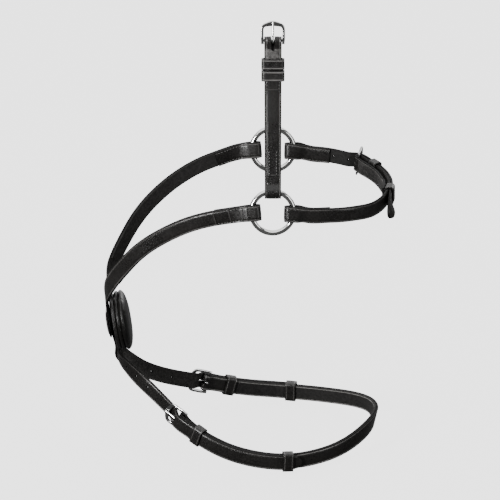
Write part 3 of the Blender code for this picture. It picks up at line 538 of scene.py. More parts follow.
class Path:
    """The middle surface of a laid strap: its places, across and normals by length."""

    def __init__(self, route, side_view):
        rows = np.array(side_view, float)
        place, _, across, out = route.frames(rows[:, 0])
        points = place + out * rows[:, 1:2]
        steps = np.linalg.norm(np.diff(points, axis=0), axis=1)
        backwards = np.argmin(rows[:, 0]) > np.argmax(rows[:, 0])
        self.points, self.side = points, rows[:, 0]
        self.across = -across if backwards else across
        self.lengths = np.concatenate([[0], np.cumsum(steps)])
        self.length = float(self.lengths[-1])

    def at_s(self, s):
        """Length along the path where its long leg passes the route's s."""
        low, high = sorted((int(np.argmin(self.side)), int(np.argmax(self.side))))
        leg = self.side[low:high + 1]
        order = np.argsort(leg)
        return float(np.interp(s, leg[order], self.lengths[low:high + 1][order]))

    def lay(self, flat):
        """Where the flat pattern's points (along, across, height) go on the path."""
        t = flat[:, 0]
        reach = 0.6 * MM
        ahead = self._along(t + reach, self.points)
        behind = self._along(t - reach, self.points)
        along = unit(ahead - behind)
        across = unit(self._along(t, self.across))
        normal = unit(np.cross(across, along))
        return self._along(t, self.points) + across * flat[:, 1:2] + normal * flat[:, 2:3]

    def _along(self, t, rows):
        return np.stack([np.interp(t, self.lengths, rows[:, k]) for k in range(3)], axis=1)


class Seat:
    """A place on a strap with its own axes: along, across and out."""

    def __init__(self, route, s, height=0.0, way=1, tilt=0.0):
        place, along, _, out = (Vector(rows[0]) for rows in route.frames(s))
        self.origin = place + out * height
        self.across = out.cross(along * way)
        turn = Matrix.Rotation(-tilt, 3, self.across)
        self.along = turn @ along * way
        self.out = turn @ out

    def put(self, rows):
        """Where points given as (along, across, out) are in the part's frame."""
        axes = np.array((self.along, self.across, self.out))
        return np.asarray(rows, float) @ axes + np.array(self.origin)


# Making pieces: cut flat, creased and punched, then laid on their paths

def deselect():
    for item in bpy.context.selected_objects:
        item.select_set(False)


def picked(item):
    """Make item the only selected and active object."""
    deselect()
    item.select_set(True)
    bpy.context.view_layer.objects.active = item
    return item


def edit(item, *steps):
    """Run edit-mode steps on all of item's mesh."""
    picked(item)
    bpy.ops.object.mode_set(mode="EDIT")
    bpy.ops.mesh.select_all(action="SELECT")
    for step in steps:
        step()
    bpy.ops.object.mode_set(mode="OBJECT")
    return item


def edit_chosen(item, kind, chosen, step):
    """Run an edit-mode step on only the chosen vertices (VERT) or faces (FACE) of item."""
    picked(item)
    bpy.ops.object.mode_set(mode="EDIT")
    bpy.ops.mesh.select_mode(type=kind)
    bpy.ops.mesh.select_all(action="DESELECT")
    bpy.ops.object.mode_set(mode="OBJECT")
    parts = item.data.vertices if kind == "VERT" else item.data.polygons
    parts.foreach_set("select", chosen)
    bpy.ops.object.mode_set(mode="EDIT")
    step()
    bpy.ops.object.mode_set(mode="OBJECT")


def points_of(item):
    rows = np.empty(len(item.data.vertices) * 3)
    item.data.vertices.foreach_get("co", rows)
    return rows.reshape(-1, 3)


def move_points(item, rows):
    item.data.vertices.foreach_set("co", np.asarray(rows, float).ravel())
    item.data.update()
    return item


def recalculate():
    bpy.ops.mesh.normals_make_consistent(inside=False)


def weld():
    bpy.ops.mesh.remove_doubles(threshold=0.005 * MM)


def join(items, name):
    """One object from several."""
    deselect()
    for item in items:
        item.select_set(True)
    bpy.context.view_layer.objects.active = items[0]
    bpy.ops.object.join()
    items[0].name = name
    return items[0]


def apply_all(item):
    picked(item)
    for modifier in list(item.modifiers):
        bpy.ops.object.modifier_apply(modifier=modifier.name)
    return item


def add_primitive(kind, name, **settings):
    deselect()
    getattr(bpy.ops.mesh, f"primitive_{kind}_add")(**settings)
    item = bpy.context.active_object
    item.name = name
    return item


def strap_section(width, thick, crease):
    """Half-round edges, and a drawn crease line inside each edge of the grain side."""
    w, h = width / 2, thick / 2
    edge = min(0.55 * MM, h * 0.6)
    side = [(w, -h + edge), (w + 0.02 * MM, 0), (w, h - edge), (w - edge * 0.4, h - edge * 0.25),
            (w - edge, h)]
    if crease:
        side += [(w - crease + 0.5 * MM, h), (w - crease + 0.12 * MM, h - 0.3 * MM),
                 (w - crease - 0.12 * MM, h - 0.3 * MM), (w - crease - 0.5 * MM, h)]
    side.append((w * 0.5, h + 0.03 * thick))
    back = [(w - edge, -h), (w * 0.5, -h)]
    top = side + [(0, h + 0.04 * thick)] + [(-y, z) for y, z in side[::-1]]
    under = [(-y, z) for y, z in back] + [(0, -h)] + back[::-1]
    loop = top + under
    return np.array(loop + loop[:1])


def flat_strip(name, length, section):
    """A closed strip along +X with this section, from a grid rolled round it."""
    rows = max(2, round(length / STEP))
    item = add_primitive("grid", name, x_subdivisions=rows, y_subdivisions=len(section) - 1,
                         size=1)
    flat = points_of(item)
    column = np.clip(np.rint((flat[:, 1] + 0.5) * (len(section) - 1)).astype(int),
                     0, len(section) - 1)
    laid = np.column_stack([(flat[:, 0] + 0.5) * length, section[column]])
    move_points(item, laid)
    edit(item, weld)
    for end in (0, length):
        edit_chosen(item, "VERT", np.abs(points_of(item)[:, 0] - end) < 0.001 * MM,
                    bpy.ops.mesh.edge_face_add)
    return edit(item, recalculate)


def pointed(end, width, length=TIP, tip=4 * MM):
    """Width along a billet, as a share: full up to the tip, then a rounded point."""

    def at(x):
        share = np.clip((end - x) / length, 0, 1)
        return (tip + (width - tip) * np.sqrt(1 - (1 - share) ** 2)) / width

    return at


def punch(item, tools):
    """Cut the tools out of item."""
    for tool in tools:
        cut = item.modifiers.new("punch", "BOOLEAN")
        cut.operation = "DIFFERENCE"
        cut.solver = "EXACT"
        cut.object = tool
        apply_all(item)
        bpy.data.objects.remove(tool, do_unlink=True)
    return item


def round_punch(x):
    """A hole that leather has half closed again: it narrows from both faces to its middle."""
    return [add_primitive("cone", "punch", vertices=28, depth=2 * MM,
                          radius1=(1.055 - 0.975 * side) * MM,
                          radius2=(1.055 + 0.975 * side) * MM,
                          location=(x, 0, 0.9 * MM * side)) for side in (1, -1)]


def slot_punch(low, high, half):
    """A long hole with round ends from x = low to x = high."""
    tool = add_primitive("cylinder", "punch", vertices=28, radius=half, depth=12 * MM,
                         location=(0, 0, 0))
    rows = points_of(tool)
    rows[:, 0] += np.where(rows[:, 0] > 0, high - half, low + half)
    return move_points(tool, rows)


def dress(item, *materials, body="noseband", slot="strap_leather", nodes=(), angle=38):
    """Smooth, coloured and put on its body: what every finished piece gets."""
    item.data.materials.clear()
    for material in materials:
        item.data.materials.append(material)
    picked(item)
    bpy.ops.object.shade_smooth_by_angle(angle=math.radians(angle))
    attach(item, body)
    if nodes:
        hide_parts(*nodes)
    return item


def remember_pattern(item, flat):
    """Keep the flat pattern's points on the piece, for materials that follow the strap."""
    kept = item.data.attributes.new("pattern", "FLOAT_VECTOR", "POINT")
    kept.data.foreach_set("vector", flat.ravel())


def mark_faces(item, index, test):
    """Give material index to the faces whose flat centre and normal pass the test."""
    for face in item.data.polygons:
        if test(face.center, face.normal):
            face.material_index = index


def leather_strip(node, path, width, thick, body="noseband", grain=STRAP_LEATHER, back=FLESH,
                  crease=1.5 * MM, share=None, holes=(), slots=(), slot="strap_leather"):
    """Cut, crease, punch and lay one strap, which replaces its CAD node.

    share gives its width along its length, holes and slots what is punched through it. With
    no back it has the grain side's leather all over.
    """
    item = flat_strip(node + "_piece", path.length, strap_section(width, thick, crease))
    if share:
        rows = points_of(item)
        rows[:, 1] *= share(rows[:, 0])
        move_points(item, rows)
    for s in holes:
        punch(item, round_punch(path.at_s(s)))
    punch(item, [slot_punch(*limits) for limits in slots])
    remember_pattern(item, points_of(item))
    if back:
        mark_faces(item, 1, lambda centre, normal: normal.z < -0.7)
        mark_faces(item, 2, lambda centre, normal: abs(normal.z) < 0.7 or abs(centre.y) > (
            width / 2 * (float(share(centre.x)) if share else 1) - 0.62 * MM))
    kept = [face.material_index for face in item.data.polygons]
    move_points(item, path.lay(points_of(item)))
    materials = (grain, back, EDGE) if back else (grain,)
    dress(item, *materials, body=body, slot=slot, nodes=(node,))
    item.data.polygons.foreach_set("material_index", kept)
    item.data.update()


def lining(node, path, thick, leather):
    """A thin, smooth strip that lies inside a strap."""
    leather_strip(node, path, STRAP - 0.6 * MM, thick, grain=leather, back=None, crease=0,
                  slot="lining_leather")


def thread(name, size, spots, lay, body="noseband"):
    """A short, sunk stitch of this size, copied to each (turn, place), then laid."""
    first = add_primitive("uv_sphere", name + "_one", segments=8, ring_count=6, radius=1)
    shape = points_of(first) * np.array(size)
    made = []
    for turn, place in spots:
        copy = first.copy()
        copy.data = first.data.copy()
        bpy.context.collection.objects.link(copy)
        move_points(copy, shape @ turn + place)
        made.append(copy)
    bpy.data.objects.remove(first, do_unlink=True)
    item = join(made, name)
    move_points(item, lay(points_of(item)))
    dress(item, THREAD, body=body)


def sew(name, path, ranges, inset, thick, width=STRAP, body="noseband"):
    """Rows of stitches inside both edges of a strap's grain side."""
    spots = [(np.eye(3), (x, side * (width / 2 - inset), thick / 2))
             for low, high in ranges
             for x in np.arange(min(low, high) + STITCH / 2, max(low, high), STITCH)
             for side in (1, -1)]
    thread(name, (STITCH * 0.36, THREAD_SIZE, THREAD_SIZE * 0.8), spots, path.lay, body)


# The straps

EIGHT = eight_route()
JAW_LINE = jaw_route()
# The fold round a buckle's heel bar, and how far each strap's end comes back from it.
FOLD = 9 * MM
FOLD_END = FOLD + 4 * MM
FOLD_BORE = 1.8 * MM
FOOT_BORE = 4 * MM
CHIN_RETURN = 24 * MM
CHEEK_RETURN = 53 * MM
JAW_RETURN = 82 * MM
CHEEK_LENGTH = 153.5 * MM
CHEEK_FOOT = 16.2 * MM
CHEEK_WIDTH = 17.4 * MM
SLOT_OUT = 8.5 * MM
SLOT_IN = 6 * MM
SLOT_HALF = 1.7 * MM
TONGUE_EYE = 2.95 * MM
TONGUE = 1.1 * MM
FAR_HEEL = EIGHT.nearest(Vector((74.8, 67, -101)) * MM)
NEAR_HEEL = EIGHT.nearest(Vector((50.8, -48.4, -88.5)) * MM)
JAW_HEEL = JAW_LINE.nearest(Vector((228.3, 58.8, 145.8)) * MM)
JAW_LOOSE = JAW_LINE.nearest(Vector((256.9, -10, 143.3)) * MM)
BILLET_END = 171.3 * MM
JAW_ROOM = 1 * MM


def billet_heights(heel, way, before, thickness, chape, rest):
    """Under the toe bar, over the heel bar, then along the strap that holds the buckle."""
    over = TONGUE_EYE + TONGUE + thickness / 2 + 0.55 * MM
    on_strap = top_of(chape) + BILLET_GAP + thickness / 2
    under = -0.3 * MM
    steps = ((-44, before), (-20, under), (-13.6, under), (-1, over), (2.5, over), (17, on_strap))
    return [(heel + way * step * MM, height) for step, height in steps] + [(rest, on_strap)]


def nose_strap(side):
    """A strap from its ring over the nose and under the pad, to its end as a chin billet."""
    near = side == "near"
    start, way, half = (0, 1, 1) if near else (EIGHT.length, -1, -1)
    heel = FAR_HEEL if near else NEAR_HEEL
    crossing = first_crossing(EIGHT) if near else EIGHT.length - first_crossing(EIGHT)
    outer = layer(NOSE)
    end = EIGHT.at_x(BILLET_END, half)
    at_crossing = outer + LIFT if near else -outer - LIFT
    height = heights(
        (start + way * LOOP_CLOSED, outer), (crossing - way * 62 * MM, outer),
        (crossing - way * 36 * MM, at_crossing), (crossing + way * 46 * MM, at_crossing),
        *billet_heights(heel, way, 0, NOSE, CHIN, end))
    turn = start + way * LOOP_END
    path = Path(EIGHT, ring_loop(start, NOSE, way) + run(turn, end, height))
    places = (-10.7, 20.8, 41.1) if near else (-9.6, -3, 6, 17.8, 32.2)
    heel_at = path.at_s(heel)
    ring_end = path.at_s(turn)
    sewn = [(2 * MM, 26 * MM), (ring_end - 8 * MM, ring_end + 20 * MM)]
    leather = bpy.data.materials.get("black nose strap leather") or bridle_leather(
        "black nose strap leather", line=6.5 * MM,
        cross=(ring_end - 13.5 * MM, ring_end - 8.5 * MM, ring_end + 4.6 * MM,
               ring_end + 20.7 * MM), seams=[(6.1 * MM, *ends) for ends in sewn])
    leather_strip(f"{side}_nose_strap", path, STRAP, NOSE, grain=leather,
                  share=pointed(path.length, STRAP),
                  holes=[EIGHT.at_x(x * MM, half) for x in places],
                  slots=[(heel_at - 11 * MM, heel_at - 2.5 * MM, 1.4 * MM)])
    sew(f"{side}_nose_thread", path, sewn, 1.9 * MM, NOSE)
    cover = Path(EIGHT, run(start + way * (RETURN + GAP), crossing - way * 64 * MM, -layer(LINER)))
    lining(f"{side}_nose_lining", cover, LINER, LINING)


def chin_strap():
    """The strap behind the chin, folded round a buckle at each end, and its padding."""
    outer = layer(CHIN)
    legs = []
    for heel, way in ((FAR_HEEL, 1), (NEAR_HEEL, -1)):
        turn = fold(heel, FOLD_BORE, CHIN, outer, -outer, FOLD, way)
        tail = run(heel + way * CHIN_RETURN, heel + way * (FOLD_END - 1 * MM), -outer)
        legs.append(tail + turn)
    body = run(FAR_HEEL + FOLD_END, NEAR_HEEL - FOLD_END, outer)
    path = Path(EIGHT, legs[0] + body + legs[1][::-1])
    far, near = path.at_s(FAR_HEEL), path.at_s(NEAR_HEEL)
    leather_strip("chin_strap", path, STRAP, CHIN, grain=CHIN_LEATHER,
                  slots=[(far - SLOT_OUT, far + SLOT_IN, SLOT_HALF),
                         (near - SLOT_IN, near + SLOT_OUT, SLOT_HALF)])
    sew("chin_thread", path, [(far + 12 * MM, far + 24 * MM), (near - 24 * MM, near - 12 * MM)],
        2 * MM, CHIN)
    cover = Path(EIGHT, run(FAR_HEEL + CHIN_RETURN + GAP, NEAR_HEEL - CHIN_RETURN - GAP,
                            -layer(PADDING) - PADDING_EASE))
    lining("chin_padding", cover, PADDING, PADDING_LEATHER)


def cheek_strap():
    """Up from the near ring to its buckle, a little wider at the top; gives its route."""
    start = NEAR_RING + RING_UP * (RING_RADIUS - 0.9 * MM) + Vector((0.4 * MM, 0, 0))
    route = Route([start + RING_UP * CHEEK_LENGTH * k for k in (0, 0.5, 1)], [RING_FACE] * 3)
    outer = layer(CHEEK)
    foot = fold(0, FOOT_BORE, CHEEK, outer, -outer, LOOP_TAPER, 1)
    top = fold(CHEEK_LENGTH, FOLD_BORE, CHEEK, outer, -outer, FOLD, -1)
    low, high = 14 * MM, CHEEK_LENGTH - FOLD_END
    path = Path(route, run(RETURN, low, -outer) + foot + run(low, high, outer)
                + (run(CHEEK_LENGTH - CHEEK_RETURN, high, -outer) + top)[::-1])
    at_foot, at_top = path.at_s(0), path.at_s(CHEEK_LENGTH)

    def share(x):
        along = np.clip((x - at_foot) / (at_top - at_foot), 0, 1)
        along = np.where(x > at_top, 1 - (x - at_top) / (at_top - at_foot), along)
        return (CHEEK_FOOT + (CHEEK_WIDTH - CHEEK_FOOT) * along) / CHEEK_WIDTH

    foot_seam = (at_foot + 18.5 * MM, at_foot + 42 * MM)
    top_seam = (at_top - 53 * MM, at_top - 43 * MM)
    leather = bridle_leather("black cheek strap leather", line=6.7 * MM,
                             cross=(at_foot + 18 * MM, at_top - 50.5 * MM),
                             seams=((3.6 * MM, *foot_seam), (6.1 * MM, *top_seam)),
                             scuffed=(at_top - 20 * MM, at_top - 8.5 * MM))
    leather_strip("cheek_strap", path, CHEEK_WIDTH, CHEEK, "cheek_strap", leather,
                  crease=1.9 * MM, share=share,
                  slots=[(at_top - 10.5 * MM, at_top + 9.5 * MM, 1.75 * MM)])
    for end, seam, inset in (("foot", foot_seam, 5.1), ("top", top_seam, 2.6)):
        sew(f"cheek_{end}_thread", path, [seam], inset * MM, CHEEK, CHEEK_WIDTH, "cheek_strap")
    return route


def jaw_strap():
    """From the near ring to the jaw buckle, its long end folded back inside."""
    outer = layer(JAW)
    end = JAW_LINE.length
    spread = -outer - KEEPER - 2 * JAW_ROOM - GAP
    turn = fold(JAW_HEEL, FOLD_BORE, JAW, outer, spread, FOLD, 1)
    drawn_in = heights((JAW_HEEL + 50 * MM, spread), (JAW_HEEL + 66 * MM, spread + 1.4 * MM))
    tail = run(JAW_HEEL + JAW_RETURN, JAW_HEEL + FOLD_END, drawn_in)
    path = Path(JAW_LINE, tail + turn + run(JAW_HEEL + FOLD_END, end - LOOP_END, outer)
                + ring_loop(end, JAW, -1)[::-1])
    heel = path.at_s(JAW_HEEL)
    leather = bridle_leather("black jaw strap leather", line=6.5 * MM, rub=0.35,
                             scuffed=(1 * MM, JAW_RETURN - FOLD))
    leather_strip("jaw_strap", path, STRAP, JAW, grain=leather,
                  slots=[(heel - SLOT_OUT, heel + SLOT_IN, SLOT_HALF)])
    ring_end = path.at_s(end - 12 * MM)
    sew("jaw_thread", path, [(ring_end + 7 * MM, ring_end + 14 * MM),
                             (path.length - 26 * MM, path.length - 2 * MM)],
        1.9 * MM, JAW)


def jaw_billet():
    """Round the jaw from the far ring, through the buckle, then hanging from the keeper."""
    steps = np.linspace(0, JAW_LOOSE + KEEPER_LENGTH / 2, 24)
    places, _, _, outs = JAW_LINE.frames(steps)
    points = [Vector(p) for p in places]
    facings = [Vector(o) for o in outs]
    start, face = points[-1], facings[-1]
    bend = math.radians(75)
    radius = 27 * MM / bend
    for share in (0.2, 0.4, 0.6, 0.8, 1):
        angle = bend * share
        points.append(start + Vector((1.5 * MM * share, -radius * math.sin(angle),
                                      -radius * (1 - math.cos(angle)))))
        facings.append(face.lerp(Vector((0.8, -0.58, 0.05)), share).normalized())
    route = Route(points, facings)
    outer = layer(JAW)
    end = route.length
    height = heights((LOOP_CLOSED, outer), *billet_heights(JAW_HEEL, 1, outer, JAW, JAW, end))
    path = Path(route, ring_loop(0, JAW, 1) + run(LOOP_END, end, height))
    holes = [route.nearest(Vector(p) * MM) for p in ((203.6, 70, 148), (218.3, 64.5, 146.8))]
    heel = path.at_s(JAW_HEEL)
    leather_strip("jaw_billet", path, STRAP, JAW, back=DARK_FLESH, holes=holes,
                  share=pointed(path.length, STRAP),
                  slots=[(heel - 1.6 * MM, heel + 3.6 * MM, 1.75 * MM)])
    ring_end = path.at_s(12 * MM)
    sew("jaw_billet_thread", path, [(2 * MM, 26 * MM), (ring_end - 14 * MM, ring_end - 7 * MM)],
        1.9 * MM, JAW)


for side in ("near", "far"):
    nose_strap(side)
chin_strap()
CHEEK_LINE = cheek_strap()
jaw_strap()
jaw_billet()


# Fittings and pad

RING_AXES = np.array((RING_UP, RING_FACE))
# A ring's wire is drawn thicker than in the CAD, as the photograph shows it.
SHOWN_WIRE = RING_WIRE + 0.5 * MM
SHOWN_RADIUS = RING_RADIUS + 0.3 * MM
PAD_AXES = np.array((PAD_UP, PAD_OUT.cross(PAD_UP), PAD_OUT))
KEEPER_ROOM = 0.45 * MM
FRAME_TILT = math.radians(11)
JAW_FRAME_TILT = math.radians(66)
# Half of a frame's outline in mm: along, across and half its thickness there.
BUCKLE_OUTLINE = (
    (0, 0, 1.35), (0, 4.815, 1.35), (0, 9.2, 1.35), (0.45, 10.25, 1.4), (1.5, 10.7, 1.4),
    (7, 10.7, 1.4), (11.5, 10.6, 1.4), (13.9, 9.8, 1.5), (15.2, 8.1, 1.7), (16, 5.7, 2),
    (16.7, 2.7, 2.35), (17, 0, 2.5),
)
SHOULDER_DEPTH = 3.8 * MM
# Half of a keeper's section in mm, grain side out: along the strap and height.
KEEPER_EDGE = (
    (-5.1, 0.1), (-5.25, 0.45), (-5.25, 1.05), (-5.1, 1.38), (-4.75, 1.52), (-4.25, 1.5),
    (-3.95, 1.22), (-3.65, 1.48), (-2.625, 1.5), (0, 1.53),
)
KEEPER_BEND = 1.6 * MM
CUSHION_RADIUS = 30.2 * MM
# The cushion's side in mm from its full radius, with the share of its depth.
LOBES = (
    (13, 0.02), (9, 0.07), (5, 0.15), (2.4, 0.25), (0.7, 0.36), (0, 0.48), (0.8, 0.59),
    (1.8, 0.66), (0.8, 0.73), (0.5, 0.84), (1.4, 0.95), (3.4, 1),
)
# The pad's backing and cap in mm: radius and height over the back of each.
BACKING_SIDE = (
    (0.5, 0), (10, 0), (27.6, 0), (28.2, 0.3), (28.4, 1), (28.2, 3.1), (27.6, 3.38), (27.1, 3.3),
    (26.8, 3.05), (26.5, 3.3), (26, 3.4), (22.4, 3.4), (10, 3.4), (0.5, 3.4),
)
CAP_SIDE = (
    (0.5, 0), (8, 0), (14, 0), (14.7, 0.1), (14.9, 0.4), (15, 0.6), (14.8, 1.05), (14.3, 1.4),
    (13.5, 1.65), (13.1, 1.4), (12.7, 1.75), (11, 2.25), (8, 2.75), (4, 3.1), (0.5, 3.2),
)


def smooth_line(rows, count, closed):
    """Rows of numbers rounded into count evenly stepped ones."""
    rows = np.array(rows, float)
    if closed:
        rows = np.vstack([rows[-3:], rows, rows[:3]])
    steps = np.linalg.norm(np.diff(rows[:, :2], axis=0), axis=1)
    knots = np.concatenate([[0], np.cumsum(steps)])
    low, high = (knots[3], knots[-3]) if closed else (knots[0], knots[-1])
    t = np.linspace(low, high, count + (1 if closed else 0))[:count]
    i = np.clip(np.searchsorted(knots, t, side="right") - 1, 0, len(knots) - 2)
    slopes = np.zeros_like(rows)
    slopes[1:-1] = (rows[2:] - rows[:-2]) / (knots[2:] - knots[:-2])[:, None]
    slopes[0] = (rows[1] - rows[0]) / steps[0]
    slopes[-1] = (rows[-1] - rows[-2]) / steps[-1]
    span = (knots[i + 1] - knots[i])[:, None]
    u = (t - knots[i])[:, None] / span
    return (rows[i] * (2 * u ** 3 - 3 * u ** 2 + 1) + rows[i + 1] * (3 * u ** 2 - 2 * u ** 3)
            + slopes[i] * span * (u ** 3 - 2 * u ** 2 + u)
            + slopes[i + 1] * span * (u ** 3 - u ** 2))


def circle(count):
    return np.linspace(0, 2 * math.pi, count, endpoint=False)


def rings_of(along, across, out):
    """Rings of points, (rings, section points, 3), from their three coordinates."""
    return np.stack(np.broadcast_arrays(along, across, out), axis=-1)


def hoop(name, rings):
    """A closed band from a torus, laid on its rings."""
    turns, around = rings.shape[:2]
    item = add_primitive("torus", name, major_segments=turns, minor_segments=around,
                         major_radius=0.1, minor_radius=0.02)
    move_points(item, rings.reshape(-1, 3))
    return edit(item, recalculate)


def rod(name, rings, first, last):
    """A solid from a sphere, laid on its rings, with its poles at first and last."""
    count, around = rings.shape[:2]
    item = add_primitive("uv_sphere", name, segments=around, ring_count=count + 1, radius=1)
    rows = points_of(item)
    height = np.rint((1 - np.arccos(np.clip(rows[:, 2], -1, 1)) / math.pi) * (count + 1))
    angle = np.arctan2(rows[:, 1], rows[:, 0]) / (2 * math.pi) * around
    ring = np.clip(height.astype(int) - 1, 0, count - 1)
    laid = rings[ring, np.rint(angle).astype(int) % around]
    laid[rows[:, 2] < -0.99999] = first
    laid[rows[:, 2] > 0.99999] = last
    move_points(item, laid)
    return edit(item, recalculate)


def wire_ring(node, centre):
    """Round wire bent to a ring, with a faint swelling where its ends are welded."""
    turns = circle(160)
    around = circle(28)
    weld_at = np.exp(-((turns - math.pi) / 0.035) ** 2)
    wire = SHOWN_WIRE + 0.05 * MM * weld_at[:, None]
    out = SHOWN_RADIUS + wire * np.cos(around)
    ways = np.cos(turns)[:, None] * np.array((1, 0, 0)) + np.sin(turns)[:, None] * RING_AXES[0]
    rings = out[..., None] * ways[:, None] - (wire * np.sin(around))[..., None] * RING_AXES[1]
    item = hoop(node + "_piece", rings + np.array(centre))
    dress(item, STEEL, body=node, slot="stainless_steel", nodes=(node,), angle=60)


def buckle_frame(node, seat, body):
    """A cast D: round heel bar, square shoulders and a wide arched toe bar."""
    line = BUCKLE_OUTLINE + tuple((x, -y, r) for x, y, r in BUCKLE_OUTLINE[-2:0:-1])
    rows = smooth_line(line, 176, True) * MM
    ahead = unit(np.roll(rows[:, :2], -1, axis=0) - np.roll(rows[:, :2], 1, axis=0))
    side = np.column_stack([ahead[:, 1], -ahead[:, 0]])
    around = circle(28)
    reach, rise = (np.sign(k) * np.abs(k) ** 0.6 for k in (np.cos(around), np.sin(around)))
    reach = rows[:, 2:] * 1.05 * reach
    item = hoop(node + "_piece", rings_of(rows[:, :1] + side[:, :1] * reach,
                                          rows[:, 1:2] + side[:, 1:] * reach, rise * 1.2 * MM))
    inside = (BUCKLE_OUTLINE[4][1] - 1.5) * MM
    shoulders = [abs(face.center.y) > inside and face.normal.x < -0.3
                 and face.center.x < 1.2 * MM for face in item.data.polygons]
    edit_chosen(item, "FACE", shoulders, bpy.ops.mesh.extrude_region_move)
    rows = points_of(item)
    drawn = np.array([vert.select for vert in item.data.vertices])
    rows[drawn, 0] = -SHOULDER_DEPTH
    rows[drawn, 2] *= 0.86
    rows[drawn, 1] -= np.sign(rows[drawn, 1]) * 0.12 * MM
    move_points(item, seat.put(rows))
    dress(item, SHADED_BUCKLE_STEEL, body=body, slot="stainless_steel", nodes=(node,), angle=50)


def buckle(name, seat, frame_body, tongue_body):
    """A frame with its heel bar on the seat, and the tongue that turns on the bar."""
    buckle_frame(f"{name}_buckle_frame", seat, frame_body)
    buckle_tongue(f"{name}_buckle_tongue", seat, tongue_body)


def buckle_tongue(node, seat, body):
    """Wire turned round the heel bar, its stem laid along the buckle to the toe bar."""
    turn = [math.radians(-70 - 20 * step) for step in range(11)]
    line = [(TONGUE_EYE * math.cos(a), TONGUE_EYE * math.sin(a)) for a in turn]
    line += [(x * MM, z * MM) for x, z in ((3, 3.05), (7, 3.1), (11.5, 3), (15, 2.75),
                                           (18, 2.55), (19.6, 2.3))]
    rows = smooth_line(line, 90, False)
    ahead = unit(np.gradient(rows, axis=0))
    up = np.column_stack([-ahead[:, 1], ahead[:, 0]])
    place = np.linspace(0, 1, len(rows))
    slim = TONGUE * np.interp(place, (0, 0.012, 0.03, 0.8, 0.975, 0.99, 1),
                              (0.45, 0.8, 1, 1, 0.82, 0.62, 0.3))
    around = circle(20)
    rise = slim[:, None] * np.sin(around)
    rings = rings_of(rows[:, :1] + up[:, :1] * rise, slim[:, None] * np.cos(around),
                     rows[:, 1:] + up[:, 1:] * rise)
    ends = [seat.put((x, 0, z)) for x, z in (rows[0], rows[-1])]
    item = rod(node + "_piece", seat.put(rings), *ends)
    dress(item, STEEL, body=body, slot="stainless_steel", nodes=(node,), angle=60)


def keeper(node, seat, half_width, low, high, body="noseband", room=KEEPER_ROOM,
           leather=KEEPER_LEATHER):
    """A leather band with beaded, creased edges, bent round the straps it holds."""
    y, z0, z1 = half_width + KEEPER_ROOM, low - room, high + room
    corners = ((y, z1, 0), (-y, z1, 90), (-y, z0, 180), (y, z0, 270))
    line = []
    for cy, cz, start in corners:
        cy -= math.copysign(KEEPER_BEND, cy)
        cz += KEEPER_BEND if cz == z0 else -KEEPER_BEND
        for step in range(7):
            angle = math.radians(start + 15 * step)
            line.append(np.array((cy, cz, math.cos(angle), math.sin(angle))))
    full = []
    for a, b in zip(line, line[1:] + line[:1]):
        count = max(1, round(np.linalg.norm(a[:2] - b[:2]) / (1.5 * MM)))
        full += [a + (b - a) * k / count for k in range(count)]
    full = np.array(full)
    section = KEEPER_EDGE + tuple((-x, z) for x, z in KEEPER_EDGE[-2::-1])
    section = np.array(section + ((2.625, 0), (0, 0), (-2.625, 0))) * MM
    reach = KEEPER_BEND + section[:, 1]
    rings = rings_of(section[:, 0], full[:, :1] + full[:, 2:3] * reach,
                     full[:, 1:2] + full[:, 3:] * reach)
    item = hoop(node + "_piece", seat.put(rings))
    # The along-strap place is kept as 'across', so the keeper leather's painted highlight lines
    # run along its beaded edges.
    remember_pattern(item, rings[..., :1] * np.array((0, 1, 0)))
    dress(item, leather, body=body, nodes=(node,))


def turned(name, profile, around=120, pucker=None):
    """A round piece from its side view, (radius, height) from its back to its front."""
    profile = np.array(profile, float)
    angles = circle(around)
    radius = profile[:, 0:1] * np.ones(around)
    height = profile[:, 1:2] * np.ones(around)
    if pucker:
        radius, height = pucker(radius, height, angles)
    rings = rings_of(radius * np.cos(angles), radius * np.sin(angles), height)
    ends = [(0, 0, profile[k, 1]) @ PAD_AXES for k in (0, -1)]
    return rod(name, rings @ PAD_AXES, *ends)


def disc_stitches(name, radius, height, count, thick):
    """Stitches round a disc of the pad."""
    spots = []
    for k in range(count):
        angle = 2 * math.pi * k / count
        turn = np.array(((math.cos(angle), math.sin(angle), 0),
                         (-math.sin(angle), math.cos(angle), 0), (0, 0, 1)))
        spots.append((turn, (radius, 0, 0) @ turn + (0, 0, height)))
    size = (thick, radius * math.pi / count * 0.72, thick * 0.8)
    thread(name, size, spots, lambda rows: rows @ PAD_AXES)


def cushion():
    """Two soft rolls of leather over stuffing, gathered into the seam between them."""
    depth = CUSHION_DEPTH
    line = [(0.5 * MM, 0), (8 * MM, 0), (12 * MM, 0.02 * MM)]
    line += [(CUSHION_RADIUS - inset * MM, depth * share) for inset, share in LOBES]
    line += [(22 * MM, depth), (12 * MM, depth), (0.5 * MM, depth)]
    rows = smooth_line(line, 120, False)
    rows[:, 1] = np.clip(rows[:, 1], 0, depth)

    def pucker(radius, height, angles):
        share = height / depth
        seam = np.exp(-((share - 0.66) / 0.1) ** 2) * (radius > 24 * MM)
        rear = np.exp(-((share - 0.3) / 0.16) ** 2) * (radius > 18 * MM)
        wave = np.sin(26 * angles + 1.3 * np.sin(3 * angles) + 0.7 * np.sin(7 * angles + 1))
        fine = np.sin(41 * angles + 2.1 * np.sin(5 * angles + 0.6))
        folds = np.clip(wave, -0.2, 1) * 0.5 + np.clip(fine, 0, 1) * 0.22
        sunk = folds * (seam * 0.75 + rear * 0.3) * MM
        return radius - sunk, height + sunk * 0.15 * (share < 0.66)

    item = turned("nose_pad_cushion_piece", rows, 260, pucker)
    move_points(item, points_of(item) + np.array(PAD_UP) * 1.0 * MM)
    dress(item, PAD, slot="pad_leather", nodes=("nose_pad_cushion",), angle=60)


